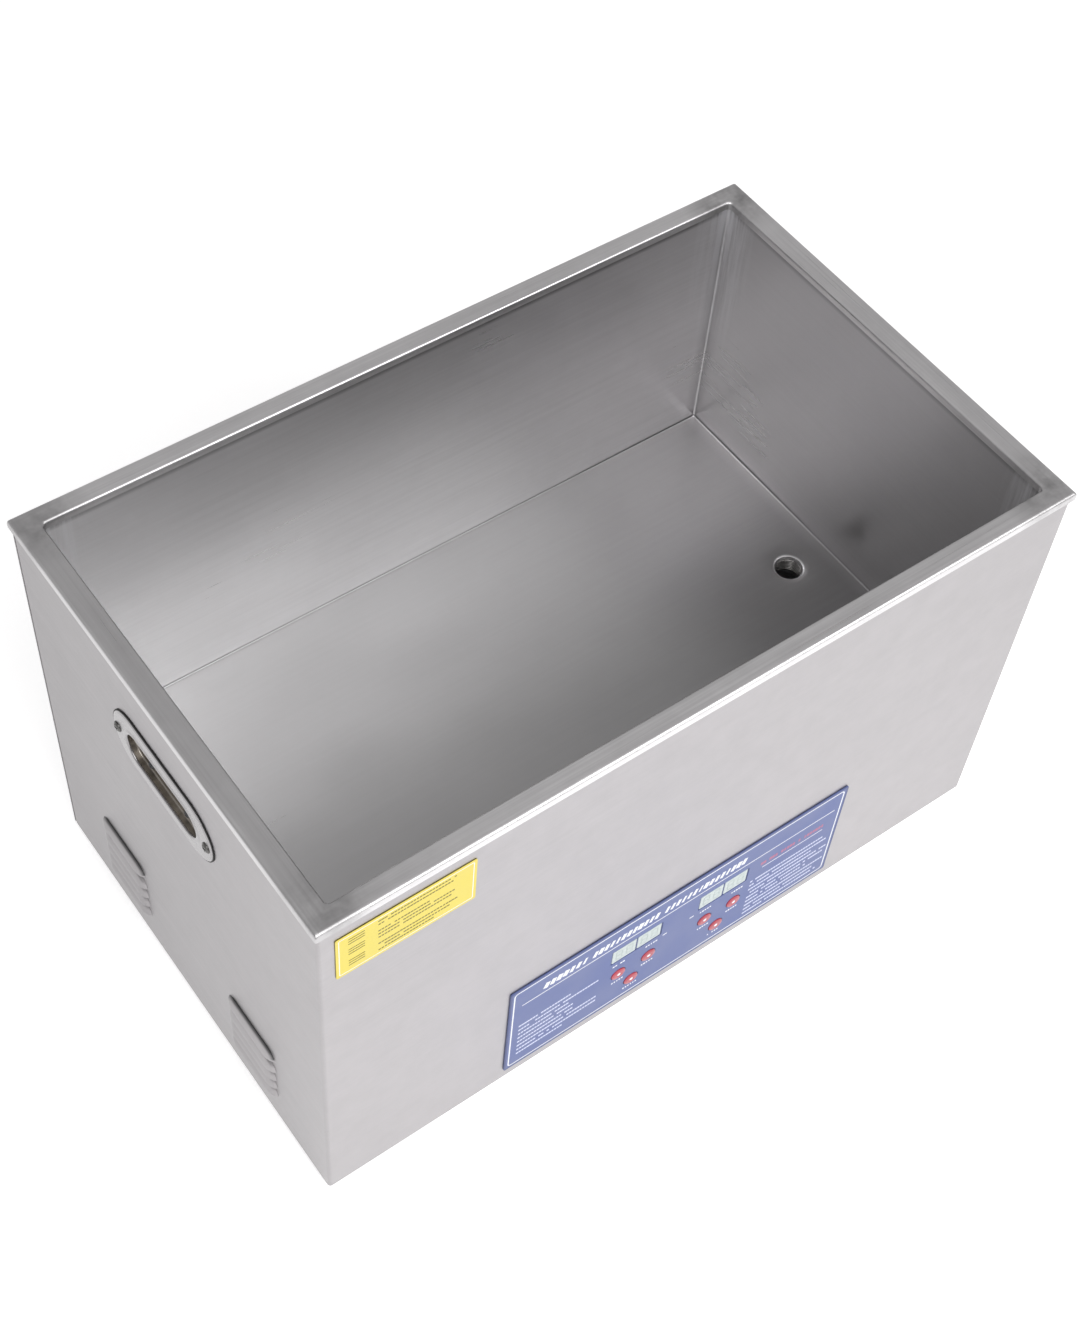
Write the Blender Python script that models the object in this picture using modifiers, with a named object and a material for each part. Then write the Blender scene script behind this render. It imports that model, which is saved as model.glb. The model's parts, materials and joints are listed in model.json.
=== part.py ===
"""A 30 litre bench-top ultrasonic cleaner, as a bench mechanic would take it apart.

A welded stainless tank hangs in a folded sheet-steel case under a folded rim. Ten bolt-clamped transducers
are bonded under the tank floor, and heating pads lie on its long walls. The drain runs from the floor
through an elbow to a quarter-turn ball valve on the right side. The electronics stand on the base tray and
behind the control panel. A fan blows through the rear panel, and the mains comes in through an appliance
inlet and a rocker switch. Units are metres, +Z is up, and the feet stand on z = 0.
"""

import math

import bmesh
import bpy
import numpy as np
from mathutils import Matrix, Vector

MM = 0.001
GAP = 0.3 * MM  # what touching pieces keep between them

# Driving sizes
TOTAL_HEIGHT = 325 * MM
FOOT_HEIGHT = 9 * MM
RIM_LENGTH, RIM_WIDTH = 530 * MM, 322 * MM
OPENING_LENGTH, OPENING_WIDTH = 499.5 * MM, 294.5 * MM
BODY_LENGTH, BODY_WIDTH = 526.4 * MM, 318.4 * MM
TANK_DEPTH = 205 * MM
RIM_SHEET, TANK_SHEET, CASE_SHEET = 1.2 * MM, 1.2 * MM, 1.0 * MM
RIM_LIP = 6 * MM

# Heights and faces that follow from them
TANK_LENGTH = OPENING_LENGTH + 2 * (RIM_SHEET + GAP)
TANK_WIDTH = OPENING_WIDTH + 2 * (RIM_SHEET + GAP)
CASE_TOP = TOTAL_HEIGHT - RIM_SHEET - GAP
TANK_FLOOR = TOTAL_HEIGHT - TANK_DEPTH
UNDER_TANK = TANK_FLOOR - TANK_SHEET
SIDE = BODY_LENGTH / 2
FRONT = BODY_WIDTH / 2
BASE_UNDERSIDE = FOOT_HEIGHT + 1 * MM
BASE_TOP = BASE_UNDERSIDE + CASE_SHEET

# Side furniture
HANDLE_HEIGHT = FOOT_HEIGHT + 248 * MM
SCREW_SPREAD = 48 * MM
HANDLE_STEPS = 20
LOUVRE_COUNT, LOUVRE_PITCH = 5, 12 * MM
LOUVRE_TOP = FOOT_HEIGHT + 86 * MM
LOUVRE_CENTRE = 76.5 * MM
LOUVRE_WIDTH, LOUVRE_DROP, LOUVRE_PROUD = 54 * MM, 9 * MM, 4 * MM

# Front furniture
PANEL_LENGTH, PANEL_WIDTH, PANEL_SHEET = 267 * MM, 101.5 * MM, 0.8 * MM
PANEL_CENTRE = FOOT_HEIGHT + 60.8 * MM
PANEL_FACE = -(FRONT + GAP + PANEL_SHEET)
CONTROL_CENTRES = {"timer": -34.5 * MM, "heat": 35.5 * MM}
DISPLAY_SIZE = (40 * MM, 15.5 * MM)
DISPLAY_HEIGHT = FOOT_HEIGHT + 74.5 * MM
BUTTON_PLACES = {"start": (12 * MM, 48 * MM), "up": (-12 * MM, 48 * MM), "down": (0, 29.5 * MM)}
BUTTON_RADIUS = 5.6 * MM
BUTTON_TRAVEL = 0.8 * MM
SWITCH_DEPTH = 7.1 * MM  # from the case's face to the top of a push switch
LABEL_SIZE = (87.5 * MM, 0.3 * MM, 40 * MM)
LABEL_X, LABEL_HEIGHT = -209.2 * MM, FOOT_HEIGHT + 278.5 * MM

# Drain
DRAIN_X = 217 * MM
DRAIN_RADIUS = 10.2 * MM
PIPE_RADIUS, PIPE_WALL, PIPE_BEND = 12 * MM, 2 * MM, 22 * MM
PIPE_HEIGHT = FOOT_HEIGHT + 76 * MM
VALVE_X = SIDE + 30.3 * MM
BALL_RADIUS, VALVE_BORE = 11 * MM, 7.5 * MM
VALVE_OUTLET = 36 * MM
LEVER_REACH = 78 * MM

# Rear furniture
FAN_SIZE, FAN_DEPTH = 80 * MM, 24 * MM
FAN_X, FAN_HEIGHT = -150 * MM, 68 * MM
INLET_X, SWITCH_X, MAINS_HEIGHT = 170 * MM, 105 * MM, 62 * MM
ROCKER_TILT = math.radians(9)

# Inside
TRANSDUCER_COLUMNS, TRANSDUCER_PITCH, TRANSDUCER_ROW = 5, 94 * MM, 72 * MM
PAD_SIZE = (320 * MM, 2.5 * MM, 70 * MM)

# The whole part is moved so that its bounding box stands centred on the origin.
REACH_RIGHT = VALVE_X + VALVE_OUTLET
REACH_LEFT = SIDE + LOUVRE_PROUD
CENTRE_SHIFT = -(REACH_RIGHT - REACH_LEFT) / 2


# ---------------------------------------------------------------- scene and materials


def clear_scene():
    for obj in list(bpy.data.objects):
        bpy.data.objects.remove(obj)


def new_collection(name, shown):
    collection = bpy.data.collections.new(name)
    collection.hide_render = not shown
    bpy.context.scene.collection.children.link(collection)
    return collection


def metal_or_plastic(name, colour, roughness, metallic):
    material = bpy.data.materials.new(name)
    material.use_nodes = True
    shader = material.node_tree.nodes["Principled BSDF"]
    shader.inputs["Base Color"].default_value = (*colour, 1)
    shader.inputs["Roughness"].default_value = roughness
    shader.inputs["Metallic"].default_value = metallic
    return material


clear_scene()
PARTS = new_collection("ultrasonic_cleaner", shown=True)
CUTTERS = new_collection("cutters", shown=False)
BODY = bpy.data.objects.new("body_centre", None)
BODY.location.x = CENTRE_SHIFT
PARTS.objects.link(BODY)

STEEL = metal_or_plastic("satin_steel", (0.62, 0.60, 0.60), 0.38, 1.0)
TANK_STEEL = metal_or_plastic("tank_steel", (0.55, 0.54, 0.54), 0.42, 1.0)
BRIGHT_STEEL = metal_or_plastic("bright_steel", (0.72, 0.71, 0.70), 0.2, 1.0)
ALUMINIUM = metal_or_plastic("aluminium", (0.75, 0.76, 0.77), 0.4, 1.0)
BRASS = metal_or_plastic("nickelled_brass", (0.66, 0.63, 0.57), 0.28, 1.0)
BLUE_PLASTIC = metal_or_plastic("blue_panel", (0.13, 0.20, 0.55), 0.45, 0.0)
RED_PLASTIC = metal_or_plastic("red_plastic", (0.65, 0.04, 0.06), 0.35, 0.0)
PALE_LENS = metal_or_plastic("pale_lens", (0.78, 0.84, 0.80), 0.3, 0.0)
BLACK_PLASTIC = metal_or_plastic("black_plastic", (0.03, 0.03, 0.03), 0.45, 0.0)
RUBBER = metal_or_plastic("rubber", (0.02, 0.02, 0.02), 0.8, 0.0)
GREEN_BOARD = metal_or_plastic("circuit_board", (0.03, 0.22, 0.08), 0.5, 0.0)
CERAMIC_PAD = metal_or_plastic("heating_pad", (0.75, 0.33, 0.12), 0.7, 0.0)
WHITE_SEAT = metal_or_plastic("white_seat", (0.9, 0.9, 0.88), 0.5, 0.0)
YELLOW_FILM = metal_or_plastic("yellow_film", (0.93, 0.80, 0.12), 0.5, 0.0)
COPPER = metal_or_plastic("winding", (0.70, 0.35, 0.15), 0.35, 1.0)


# ---------------------------------------------------------------- making solids


def place(obj, material, location=(0, 0, 0), rotation=(0, 0, 0)):
    """Links a part, parents it to the body's centre and gives it its material."""
    PARTS.objects.link(obj)
    obj.parent = BODY
    obj.location, obj.rotation_euler = location, rotation
    obj.data.materials.append(material)
    return obj


def object_of(name, bm):
    mesh = bpy.data.meshes.new(name)
    bm.to_mesh(mesh)
    bm.free()
    return bpy.data.objects.new(name, mesh)


def cutter_of(name, bm):
    """A helper shape that a Boolean cuts or adds."""
    obj = object_of(name, bm)
    CUTTERS.objects.link(obj)
    obj.parent = BODY
    obj.hide_render = True
    obj.display_type = "WIRE"
    return obj


def boolean(obj, tool, operation, joined=False):
    modifier = obj.modifiers.new(f"{operation.lower()} {tool.name}", "BOOLEAN")
    modifier.operation = operation
    modifier.object = tool
    modifier.use_self = joined
    return obj


def bevel(obj, width, segments=2, angle=30):
    modifier = obj.modifiers.new("round edges", "BEVEL")
    modifier.width = width
    modifier.segments = segments
    modifier.limit_method = "ANGLE"
    modifier.angle_limit = math.radians(angle)


def sheet(obj, thickness, outwards=False):
    """Gives an open surface its sheet thickness, behind or in front of the drawn face."""
    modifier = obj.modifiers.new("sheet", "SOLIDIFY")
    modifier.thickness = thickness
    modifier.offset = 1 if outwards else -1
    modifier.use_even_offset = True


def add_box(bm, size, centre):
    matrix = Matrix.Translation(centre) @ Matrix.Diagonal((*size, 1))
    return bmesh.ops.create_cube(bm, size=1, matrix=matrix)["verts"]


def turn_to(axis):
    """The rotation that carries +Z to an axis."""
    return Vector(axis).to_track_quat("Z", "Y").to_matrix().to_4x4()


def add_rod(bm, radius, length, centre, axis=(0, 0, 1), sides=24, end_radius=None):
    """A cylinder or cone centred on a point; its flats stand square, half a side turned."""
    matrix = Matrix.Translation(centre) @ turn_to(axis) @ Matrix.Rotation(math.pi / sides, 4, "Z")
    other = radius if end_radius is None else end_radius
    return bmesh.ops.create_cone(
        bm, cap_ends=True, segments=sides, radius1=radius, radius2=other, depth=length, matrix=matrix
    )["verts"]


def box(name, material, size, centre, round_edges=0.0):
    bm = bmesh.new()
    add_box(bm, size, (0, 0, 0))
    obj = place(object_of(name, bm), material, centre)
    if round_edges:
        bevel(obj, round_edges, 1)
    return obj


def screw_profile(name, profile, steps):
    """An object whose profile of (radius, height) points a Screw modifier turns about local Z."""
    bm = bmesh.new()
    points = [bm.verts.new((radius, 0, height)) for radius, height in profile]
    ends_on_axis = profile[0][0] == 0 and profile[-1][0] == 0
    pairs = zip(points, points[1:] if ends_on_axis else points[1:] + points[:1])
    for start, end in pairs:
        bm.edges.new((start, end))
    obj = object_of(name, bm)
    modifier = obj.modifiers.new("turn", "SCREW")
    modifier.steps = modifier.render_steps = steps
    modifier.use_merge_vertices = True
    modifier.merge_threshold = 1e-5
    return obj


def turned(name, material, profile, location, axis=(0, 0, 1), steps=24):
    """A turned piece. The profile goes over its top, down its outside and back; its origin is on the axis."""
    obj = screw_profile(name, profile, steps)
    return place(obj, material, location, turn_to(axis).to_euler())


def evaluated_mesh(obj):
    """The mesh that an object's modifiers make, with the object removed."""
    bpy.context.scene.collection.objects.link(obj)
    bpy.context.view_layer.update()
    mesh = bpy.data.meshes.new_from_object(obj.evaluated_get(bpy.context.evaluated_depsgraph_get()))
    bpy.data.objects.remove(obj)
    return mesh


def move_halves_apart(points, amount, along=0):
    """Stretches a round shape into a stadium: each half moves away from the middle by an amount."""
    points[:, along] += np.sign(points[:, along]) * amount
    return points


def add_stadium_rod(bm, radius, straight, length, centre, axis, sides=20):
    """A rod with a stadium section, long along Y, for slots."""
    radius = radius / math.cos(math.pi / sides)
    for vert in add_rod(bm, radius, length, centre, axis, sides):
        vert.co.y += math.copysign(straight / 2, vert.co.y - centre[1])


def select_faces(bm, test):
    return [face for face in bm.faces if test(face.normal, face.calc_center_median())]


# ---------------------------------------------------------------- tank and rim


def make_tank():
    """Five sheets of steel welded into a box, with the drain hole in its floor."""
    bm = bmesh.new()
    height = CASE_TOP - 2 * GAP - TANK_FLOOR
    add_box(bm, (TANK_LENGTH, TANK_WIDTH, height), (0, 0, TANK_FLOOR + height / 2))
    bm.normal_update()
    bmesh.ops.delete(bm, geom=select_faces(bm, lambda n, c: n.z > 0.5), context="FACES")
    tank = place(object_of("tank", bm), TANK_STEEL)
    bevel(tank, 2 * MM)
    sheet(tank, TANK_SHEET, outwards=True)
    hole = bmesh.new()
    add_rod(hole, DRAIN_RADIUS, 20 * MM, (DRAIN_X, 0, TANK_FLOOR), sides=24)
    return boolean(tank, cutter_of("drain_hole_cut", hole), "DIFFERENCE")


def make_rim():
    """A folded frame: a lip outside the case, a flat top, and a lip inside the tank."""
    bm = bmesh.new()
    add_box(bm, (RIM_LENGTH, RIM_WIDTH, RIM_LIP), (0, 0, TOTAL_HEIGHT - RIM_LIP / 2))
    bm.normal_update()
    bmesh.ops.delete(bm, geom=select_faces(bm, lambda n, c: n.z < -0.5), context="FACES")
    top = select_faces(bm, lambda n, c: n.z > 0.5)
    bmesh.ops.inset_region(bm, faces=top, thickness=1 * MM)
    for vert in top[0].verts:
        vert.co.x = math.copysign(OPENING_LENGTH / 2, vert.co.x)
        vert.co.y = math.copysign(OPENING_WIDTH / 2, vert.co.y)
    inner = bmesh.ops.extrude_face_region(bm, geom=top)["geom"]
    for vert in (item for item in inner if isinstance(item, bmesh.types.BMVert)):
        vert.co.z -= RIM_LIP
    bm.normal_update()
    lids = select_faces(bm, lambda n, c: abs(c.x) < MM and abs(c.y) < MM)
    bmesh.ops.delete(bm, geom=lids, context="FACES")
    rim = place(object_of("rim_frame", bm), STEEL)
    bevel(rim, 1.6 * MM)
    sheet(rim, RIM_SHEET)
    return rim


# ---------------------------------------------------------------- case


def louvre_heights():
    return [LOUVRE_TOP - LOUVRE_DROP - LOUVRE_PITCH * i for i in range(LOUVRE_COUNT)]


def cut_off(bm, point, normal):
    """Cuts away what lies beyond a plane and closes the cut."""
    everything = bm.verts[:] + bm.edges[:] + bm.faces[:]
    cut = bmesh.ops.bisect_plane(bm, geom=everything, plane_co=point, plane_no=normal, clear_outer=True)["geom_cut"]
    bmesh.ops.contextual_create(bm, geom=[item for item in cut if isinstance(item, bmesh.types.BMEdge)])


def add_louvre(bm, side, y, lip, drop, proud, depth_below, inner_side):
    """The upper half of a flattened capsule on a side wall: a hood that opens downwards."""
    straight = LOUVRE_WIDTH / 2 - LOUVRE_DROP
    hood = bmesh.new()
    bmesh.ops.create_uvsphere(hood, u_segments=8, v_segments=5, radius=1)
    bmesh.ops.rotate(hood, verts=hood.verts, matrix=Matrix.Rotation(math.pi / 2, 3, "X"))
    for vert in hood.verts:
        vert.co.y = vert.co.y * drop + math.copysign(straight, vert.co.y) + y
        vert.co.x = side * (SIDE + vert.co.x * proud)
        vert.co.z = vert.co.z * drop + lip
    if side < 0:
        bmesh.ops.reverse_faces(hood, faces=hood.faces)
    cut_off(hood, (0, 0, lip - depth_below), (0, 0, -1))
    if inner_side is not None:
        cut_off(hood, (side * inner_side, 0, 0), (-side, 0, 0))
    mesh = bpy.data.meshes.new("hood")
    hood.to_mesh(mesh)
    hood.free()
    bm.from_mesh(mesh)
    bpy.data.meshes.remove(mesh)


def louvre_tools(name, drop, proud, depth_below, inner_side):
    bm = bmesh.new()
    for side in (-1, 1):
        for centre in (-LOUVRE_CENTRE, LOUVRE_CENTRE):
            for lip in louvre_heights():
                add_louvre(bm, side, centre, lip, drop, proud, depth_below, inner_side)
    bmesh.ops.recalc_face_normals(bm, faces=bm.faces)
    return cutter_of(name, bm)


def add_panel_openings(bm, depth, clearance):
    """What the displays and buttons pass through."""
    for centre in CONTROL_CENTRES.values():
        size = (DISPLAY_SIZE[0] + 2 * clearance, depth, DISPLAY_SIZE[1] + 2 * clearance)
        add_box(bm, size, (centre, -FRONT, DISPLAY_HEIGHT))
        for across, up in BUTTON_PLACES.values():
            place_at = (centre + across, -FRONT, FOOT_HEIGHT + up)
            add_rod(bm, BUTTON_RADIUS + clearance, depth, place_at, (0, 1, 0), 16)


def make_shell():
    """One sheet folded round the front and both sides, with rear flanges for the back panel."""
    bm = bmesh.new()
    rear = FRONT - CASE_SHEET - GAP
    height = CASE_TOP - FOOT_HEIGHT
    middle = (0, (rear - FRONT) / 2, FOOT_HEIGHT + height / 2)
    add_box(bm, (BODY_LENGTH, FRONT + rear, height), middle)
    bm.normal_update()
    open_sides = select_faces(bm, lambda n, c: abs(n.z) > 0.5 or n.y > 0.5)
    bmesh.ops.delete(bm, geom=open_sides, context="FACES")
    rear_edges = [edge for edge in bm.edges if edge.is_boundary and all(v.co.y > 0 for v in edge.verts)]
    rear_edges = [edge for edge in rear_edges if abs(edge.verts[0].co.z - edge.verts[1].co.z) > height / 2]
    folded = bmesh.ops.extrude_edge_only(bm, edges=rear_edges)["geom"]
    for vert in (item for item in folded if isinstance(item, bmesh.types.BMVert)):
        vert.co.x -= math.copysign(12 * MM, vert.co.x)
    bmesh.ops.recalc_face_normals(bm, faces=bm.faces)
    if select_faces(bm, lambda n, c: c.y < -FRONT + MM)[0].normal.y > 0:
        bmesh.ops.reverse_faces(bm, faces=bm.faces)
    shell = place(object_of("outer_shell", bm), STEEL)
    bevel(shell, 2.2 * MM)
    sheet(shell, CASE_SHEET)

    hoods = louvre_tools("louvre_hoods", LOUVRE_DROP, LOUVRE_PROUD, 0, SIDE - CASE_SHEET / 2)
    hollows = louvre_tools("louvre_hollows", LOUVRE_DROP - MM, LOUVRE_PROUD - MM, 0.5 * MM, None)
    boolean(shell, hoods, "UNION")
    boolean(shell, hollows, "DIFFERENCE")

    cuts = bmesh.new()
    for side in (-1, 1):
        add_stadium_rod(cuts, 14 * MM, 51 * MM, 10 * MM, (side * SIDE, 0, HANDLE_HEIGHT), (side, 0, 0))
        for y in (-SCREW_SPREAD, SCREW_SPREAD):
            add_rod(cuts, 2.4 * MM, 10 * MM, (side * SIDE, y, HANDLE_HEIGHT), (1, 0, 0), 12)
    add_rod(cuts, PIPE_RADIUS + 0.6 * MM, 10 * MM, (SIDE, 0, PIPE_HEIGHT), (1, 0, 0))
    add_panel_openings(cuts, 6 * MM, 0.5 * MM)
    return boolean(shell, cutter_of("shell_cuts", cuts), "DIFFERENCE")


def make_rear_panel():
    """A flat sheet over the rear flanges, cut out for the inlet, the switch and the fan's air."""
    bm = bmesh.new()
    height = CASE_TOP - FOOT_HEIGHT
    middle = (0, FRONT - CASE_SHEET / 2, FOOT_HEIGHT + height / 2)
    add_box(bm, (BODY_LENGTH, CASE_SHEET, height), middle)
    panel = place(object_of("rear_panel", bm), STEEL)

    cuts = bmesh.new()
    add_box(cuts, (28.2 * MM, 10 * MM, 20.8 * MM), (INLET_X, FRONT, MAINS_HEIGHT))
    add_box(cuts, (22.4 * MM, 10 * MM, 28.4 * MM), (SWITCH_X, FRONT, MAINS_HEIGHT))
    slot_pitch, slot_radius = 8 * MM, 2.2 * MM
    for row in range(-4, 5):
        reach = math.sqrt((36 * MM) ** 2 - (row * slot_pitch) ** 2)
        middle = (FAN_X, FRONT, FAN_HEIGHT + row * slot_pitch)
        verts = add_rod(cuts, slot_radius, 10 * MM, middle, (0, 1, 0), 12)
        for vert in verts:
            vert.co.x += math.copysign(reach - slot_radius, vert.co.x - FAN_X)
    return boolean(panel, cutter_of("rear_cuts", cuts), "DIFFERENCE")


def make_base():
    """A shallow tray that closes the case and carries the feet."""
    bm = bmesh.new()
    low, high = -FRONT + CASE_SHEET + 0.4 * MM, FRONT - 2 * CASE_SHEET - 2 * GAP - 0.1 * MM
    length, wall = BODY_LENGTH - 2 * CASE_SHEET - 0.8 * MM, 14 * MM
    add_box(bm, (length, high - low, wall), (0, (low + high) / 2, BASE_UNDERSIDE + wall / 2))
    bm.normal_update()
    bmesh.ops.delete(bm, geom=select_faces(bm, lambda n, c: n.z > 0.5), context="FACES")
    base = place(object_of("base_tray", bm), STEEL)
    bevel(base, 1.5 * MM)
    sheet(base, CASE_SHEET)
    return base


def make_feet():
    """Four moulded rubber feet, hollow underneath for their screws."""
    top = BASE_UNDERSIDE - GAP
    profile = [(0, top), (13, top), (13, top - 2 * MM), (11, 0), (5, 0), (4.5, 4 * MM), (0, 4 * MM)]
    profile = [(radius * MM, height) for radius, height in profile]
    for end, x in (("left", -225 * MM), ("right", 225 * MM)):
        for face, y in (("front", -122 * MM), ("rear", 122 * MM)):
            turned(f"foot_{face}_{end}", RUBBER, profile, (x, y, 0), steps=16)


# ---------------------------------------------------------------- handles


def make_handle(name, side):
    """A stamped flush pull: a domed stadium bezel with a shallow finger cup, held by two screws."""
    cup, cup_floor, face, outline, rise = 12 * MM, -8.2 * MM, 21 * MM, 23 * MM, 2.2 * MM
    front = [(0, cup_floor), (cup - 1.5 * MM, cup_floor), (cup, cup_floor + 1.5 * MM), (cup, rise - MM)]
    front += [(cup + MM, rise), (face, rise), (outline - 0.4 * MM, rise - 0.9 * MM), (outline, GAP)]
    back = [(outline - 1.2 * MM, GAP), (face, rise - MM), (cup + 1.4 * MM, rise - MM)]
    back += [(cup + MM, rise - 1.6 * MM), (cup + MM, cup_floor + MM), (cup - MM, cup_floor - MM)]
    back += [(0, cup_floor - MM)]
    mesh = evaluated_mesh(screw_profile(name + "_round", front + back, HANDLE_STEPS))
    points = np.empty(len(mesh.vertices) * 3)
    mesh.vertices.foreach_get("co", points)
    points = points.reshape(-1, 3)
    turn = math.pi / HANDLE_STEPS
    spin = np.array([[math.cos(turn), -math.sin(turn)], [math.sin(turn), math.cos(turn)]])
    points[:, :2] = points[:, :2] @ spin.T
    radii = np.hypot(points[:, 0], points[:, 1])
    stretch = np.interp(radii, [0, cup + 1.4 * MM, face], [25.5 * MM, 25.5 * MM, 31 * MM])
    mesh.vertices.foreach_set("co", move_halves_apart(points, stretch).ravel())
    handle = bpy.data.objects.new(name, mesh)
    frame = Matrix(((0, 0, side), (side, 0, 0), (0, 1, 0)))
    place(handle, BRIGHT_STEEL, (side * SIDE, 0, HANDLE_HEIGHT), frame.to_euler())
    holes = bmesh.new()
    for y in (-SCREW_SPREAD, SCREW_SPREAD):
        add_rod(holes, 2.4 * MM, 20 * MM, (side * SIDE, y, HANDLE_HEIGHT), (1, 0, 0), 12)
    boolean(handle, cutter_of(name + "_holes", holes), "DIFFERENCE")
    for place_name, y in (("front", -SCREW_SPREAD), ("rear", SCREW_SPREAD)):
        head, shank, under = 3.6 * MM, 1.9 * MM, rise + GAP
        profile = [(0, under + 1.3 * MM), (2.2 * MM, under + 1.1 * MM), (head, under), (shank, under)]
        profile += [(shank, -7.5 * MM), (0, -7.5 * MM)]
        where = (side * SIDE, y, HANDLE_HEIGHT)
        turned(f"{name}_screw_{place_name}", BRIGHT_STEEL, profile, where, (side, 0, 0), 12)


# ---------------------------------------------------------------- control panel


def make_control_panel():
    bm = bmesh.new()
    centre = (0, PANEL_FACE + PANEL_SHEET / 2, PANEL_CENTRE)
    add_box(bm, (PANEL_LENGTH, PANEL_SHEET, PANEL_WIDTH), centre)
    panel = place(object_of("control_panel", bm), BLUE_PLASTIC)
    cuts = bmesh.new()
    add_panel_openings(cuts, 6 * MM, GAP)
    boolean(panel, cutter_of("panel_cuts", cuts), "DIFFERENCE")
    label_place = (LABEL_X, -FRONT - GAP - LABEL_SIZE[1] / 2, LABEL_HEIGHT)
    box("yellow_label", YELLOW_FILM, LABEL_SIZE, label_place)


def make_displays():
    """Two numeral modules that look out through the panel, each with a groove between its digit pairs."""
    board_face = -148.5 * MM
    front = PANEL_FACE + 0.1 * MM
    depth = board_face - GAP - front
    for name, centre in CONTROL_CENTRES.items():
        bm = bmesh.new()
        add_box(bm, (DISPLAY_SIZE[0], depth, DISPLAY_SIZE[1]), (centre, front + depth / 2, DISPLAY_HEIGHT))
        module = place(object_of(f"{name}_display", bm), PALE_LENS)
        groove = bmesh.new()
        add_box(groove, (1.4 * MM, 2 * MM, 30 * MM), (centre, front, DISPLAY_HEIGHT))
        boolean(module, cutter_of(f"{name}_display_groove", groove), "DIFFERENCE")


def make_buttons():
    """Six push buttons: a domed cap, a flange behind the case wall and a stem to its switch."""
    face = -PANEL_FACE - FRONT
    flange = -CASE_SHEET - 0.5 * MM
    tip = -(SWITCH_DEPTH - BUTTON_TRAVEL - GAP)
    profile = [(0, face + MM), (4.6 * MM, face + 0.7 * MM), (BUTTON_RADIUS, face)]
    profile += [(BUTTON_RADIUS, flange), (6.9 * MM, flange)]
    profile += [(6.9 * MM, flange - MM), (2 * MM, flange - MM), (2 * MM, tip), (0, tip)]
    for group, centre in CONTROL_CENTRES.items():
        for name, (across, up) in BUTTON_PLACES.items():
            where = (centre + across, -FRONT, FOOT_HEIGHT + up)
            turned(f"{group}_{name}_button", RED_PLASTIC, profile, where, (0, -1, 0), 16)


def make_control_board():
    """The board behind the panel, with one push switch behind each button and its connectors."""
    bm = bmesh.new()
    add_box(bm, (150 * MM, 1.6 * MM, 76 * MM), (0, -147.7 * MM, 62 * MM))
    board = place(object_of("control_board", bm), GREEN_BOARD)
    extras = bmesh.new()
    for centre in CONTROL_CENTRES.values():
        for across, up in BUTTON_PLACES.values():
            switch_middle = -FRONT + SWITCH_DEPTH + 2.2 * MM
            add_box(extras, (6 * MM, 4.4 * MM, 6 * MM), (centre + across, switch_middle, FOOT_HEIGHT + up))
    for x in (-50, 0, 50):
        add_box(extras, (18 * MM, 9 * MM, 6 * MM), (x * MM, -143 * MM, 35 * MM))
    boolean(board, cutter_of("control_board_parts", extras), "UNION")


# ---------------------------------------------------------------- transducers, heaters, sensor


def make_transducers():
    """Ten bolt-clamped transducers: aluminium bell, two piezo rings, steel back mass and bolt head."""
    top = UNDER_TANK - GAP
    steps_down = [(0, 0), (23, 0), (23, -3), (19, -23), (17.5, -24), (17.5, -35), (19, -36)]
    steps_down += [(19, -50), (6.5, -50), (6.5, -57), (0, -57)]
    profile = [(radius * MM, height * MM) for radius, height in steps_down]
    for row, y in enumerate((-TRANSDUCER_ROW, TRANSDUCER_ROW)):
        for column in range(TRANSDUCER_COLUMNS):
            number = row * TRANSDUCER_COLUMNS + column + 1
            x = (column - (TRANSDUCER_COLUMNS - 1) / 2) * TRANSDUCER_PITCH
            turned(f"transducer_{number:02d}", ALUMINIUM, profile, (x, y, top), steps=14)


def make_heaters_and_sensor():
    outer_wall = TANK_WIDTH / 2 + TANK_SHEET
    for name, side in (("front", -1), ("rear", 1)):
        centre = (0, side * (outer_wall + GAP + PAD_SIZE[1] / 2), 175 * MM)
        box(f"heating_pad_{name}", CERAMIC_PAD, PAD_SIZE, centre)
    end_wall = TANK_LENGTH / 2 + TANK_SHEET + GAP
    profile = [(0, 6 * MM), (5 * MM, 6 * MM), (5 * MM, 2 * MM), (9 * MM, 2 * MM), (9 * MM, 0), (0, 0)]
    turned("temperature_sensor", ALUMINIUM, profile, (-end_wall, 95 * MM, 150 * MM), (-1, 0, 0), 20)


# ---------------------------------------------------------------- power electronics


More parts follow.
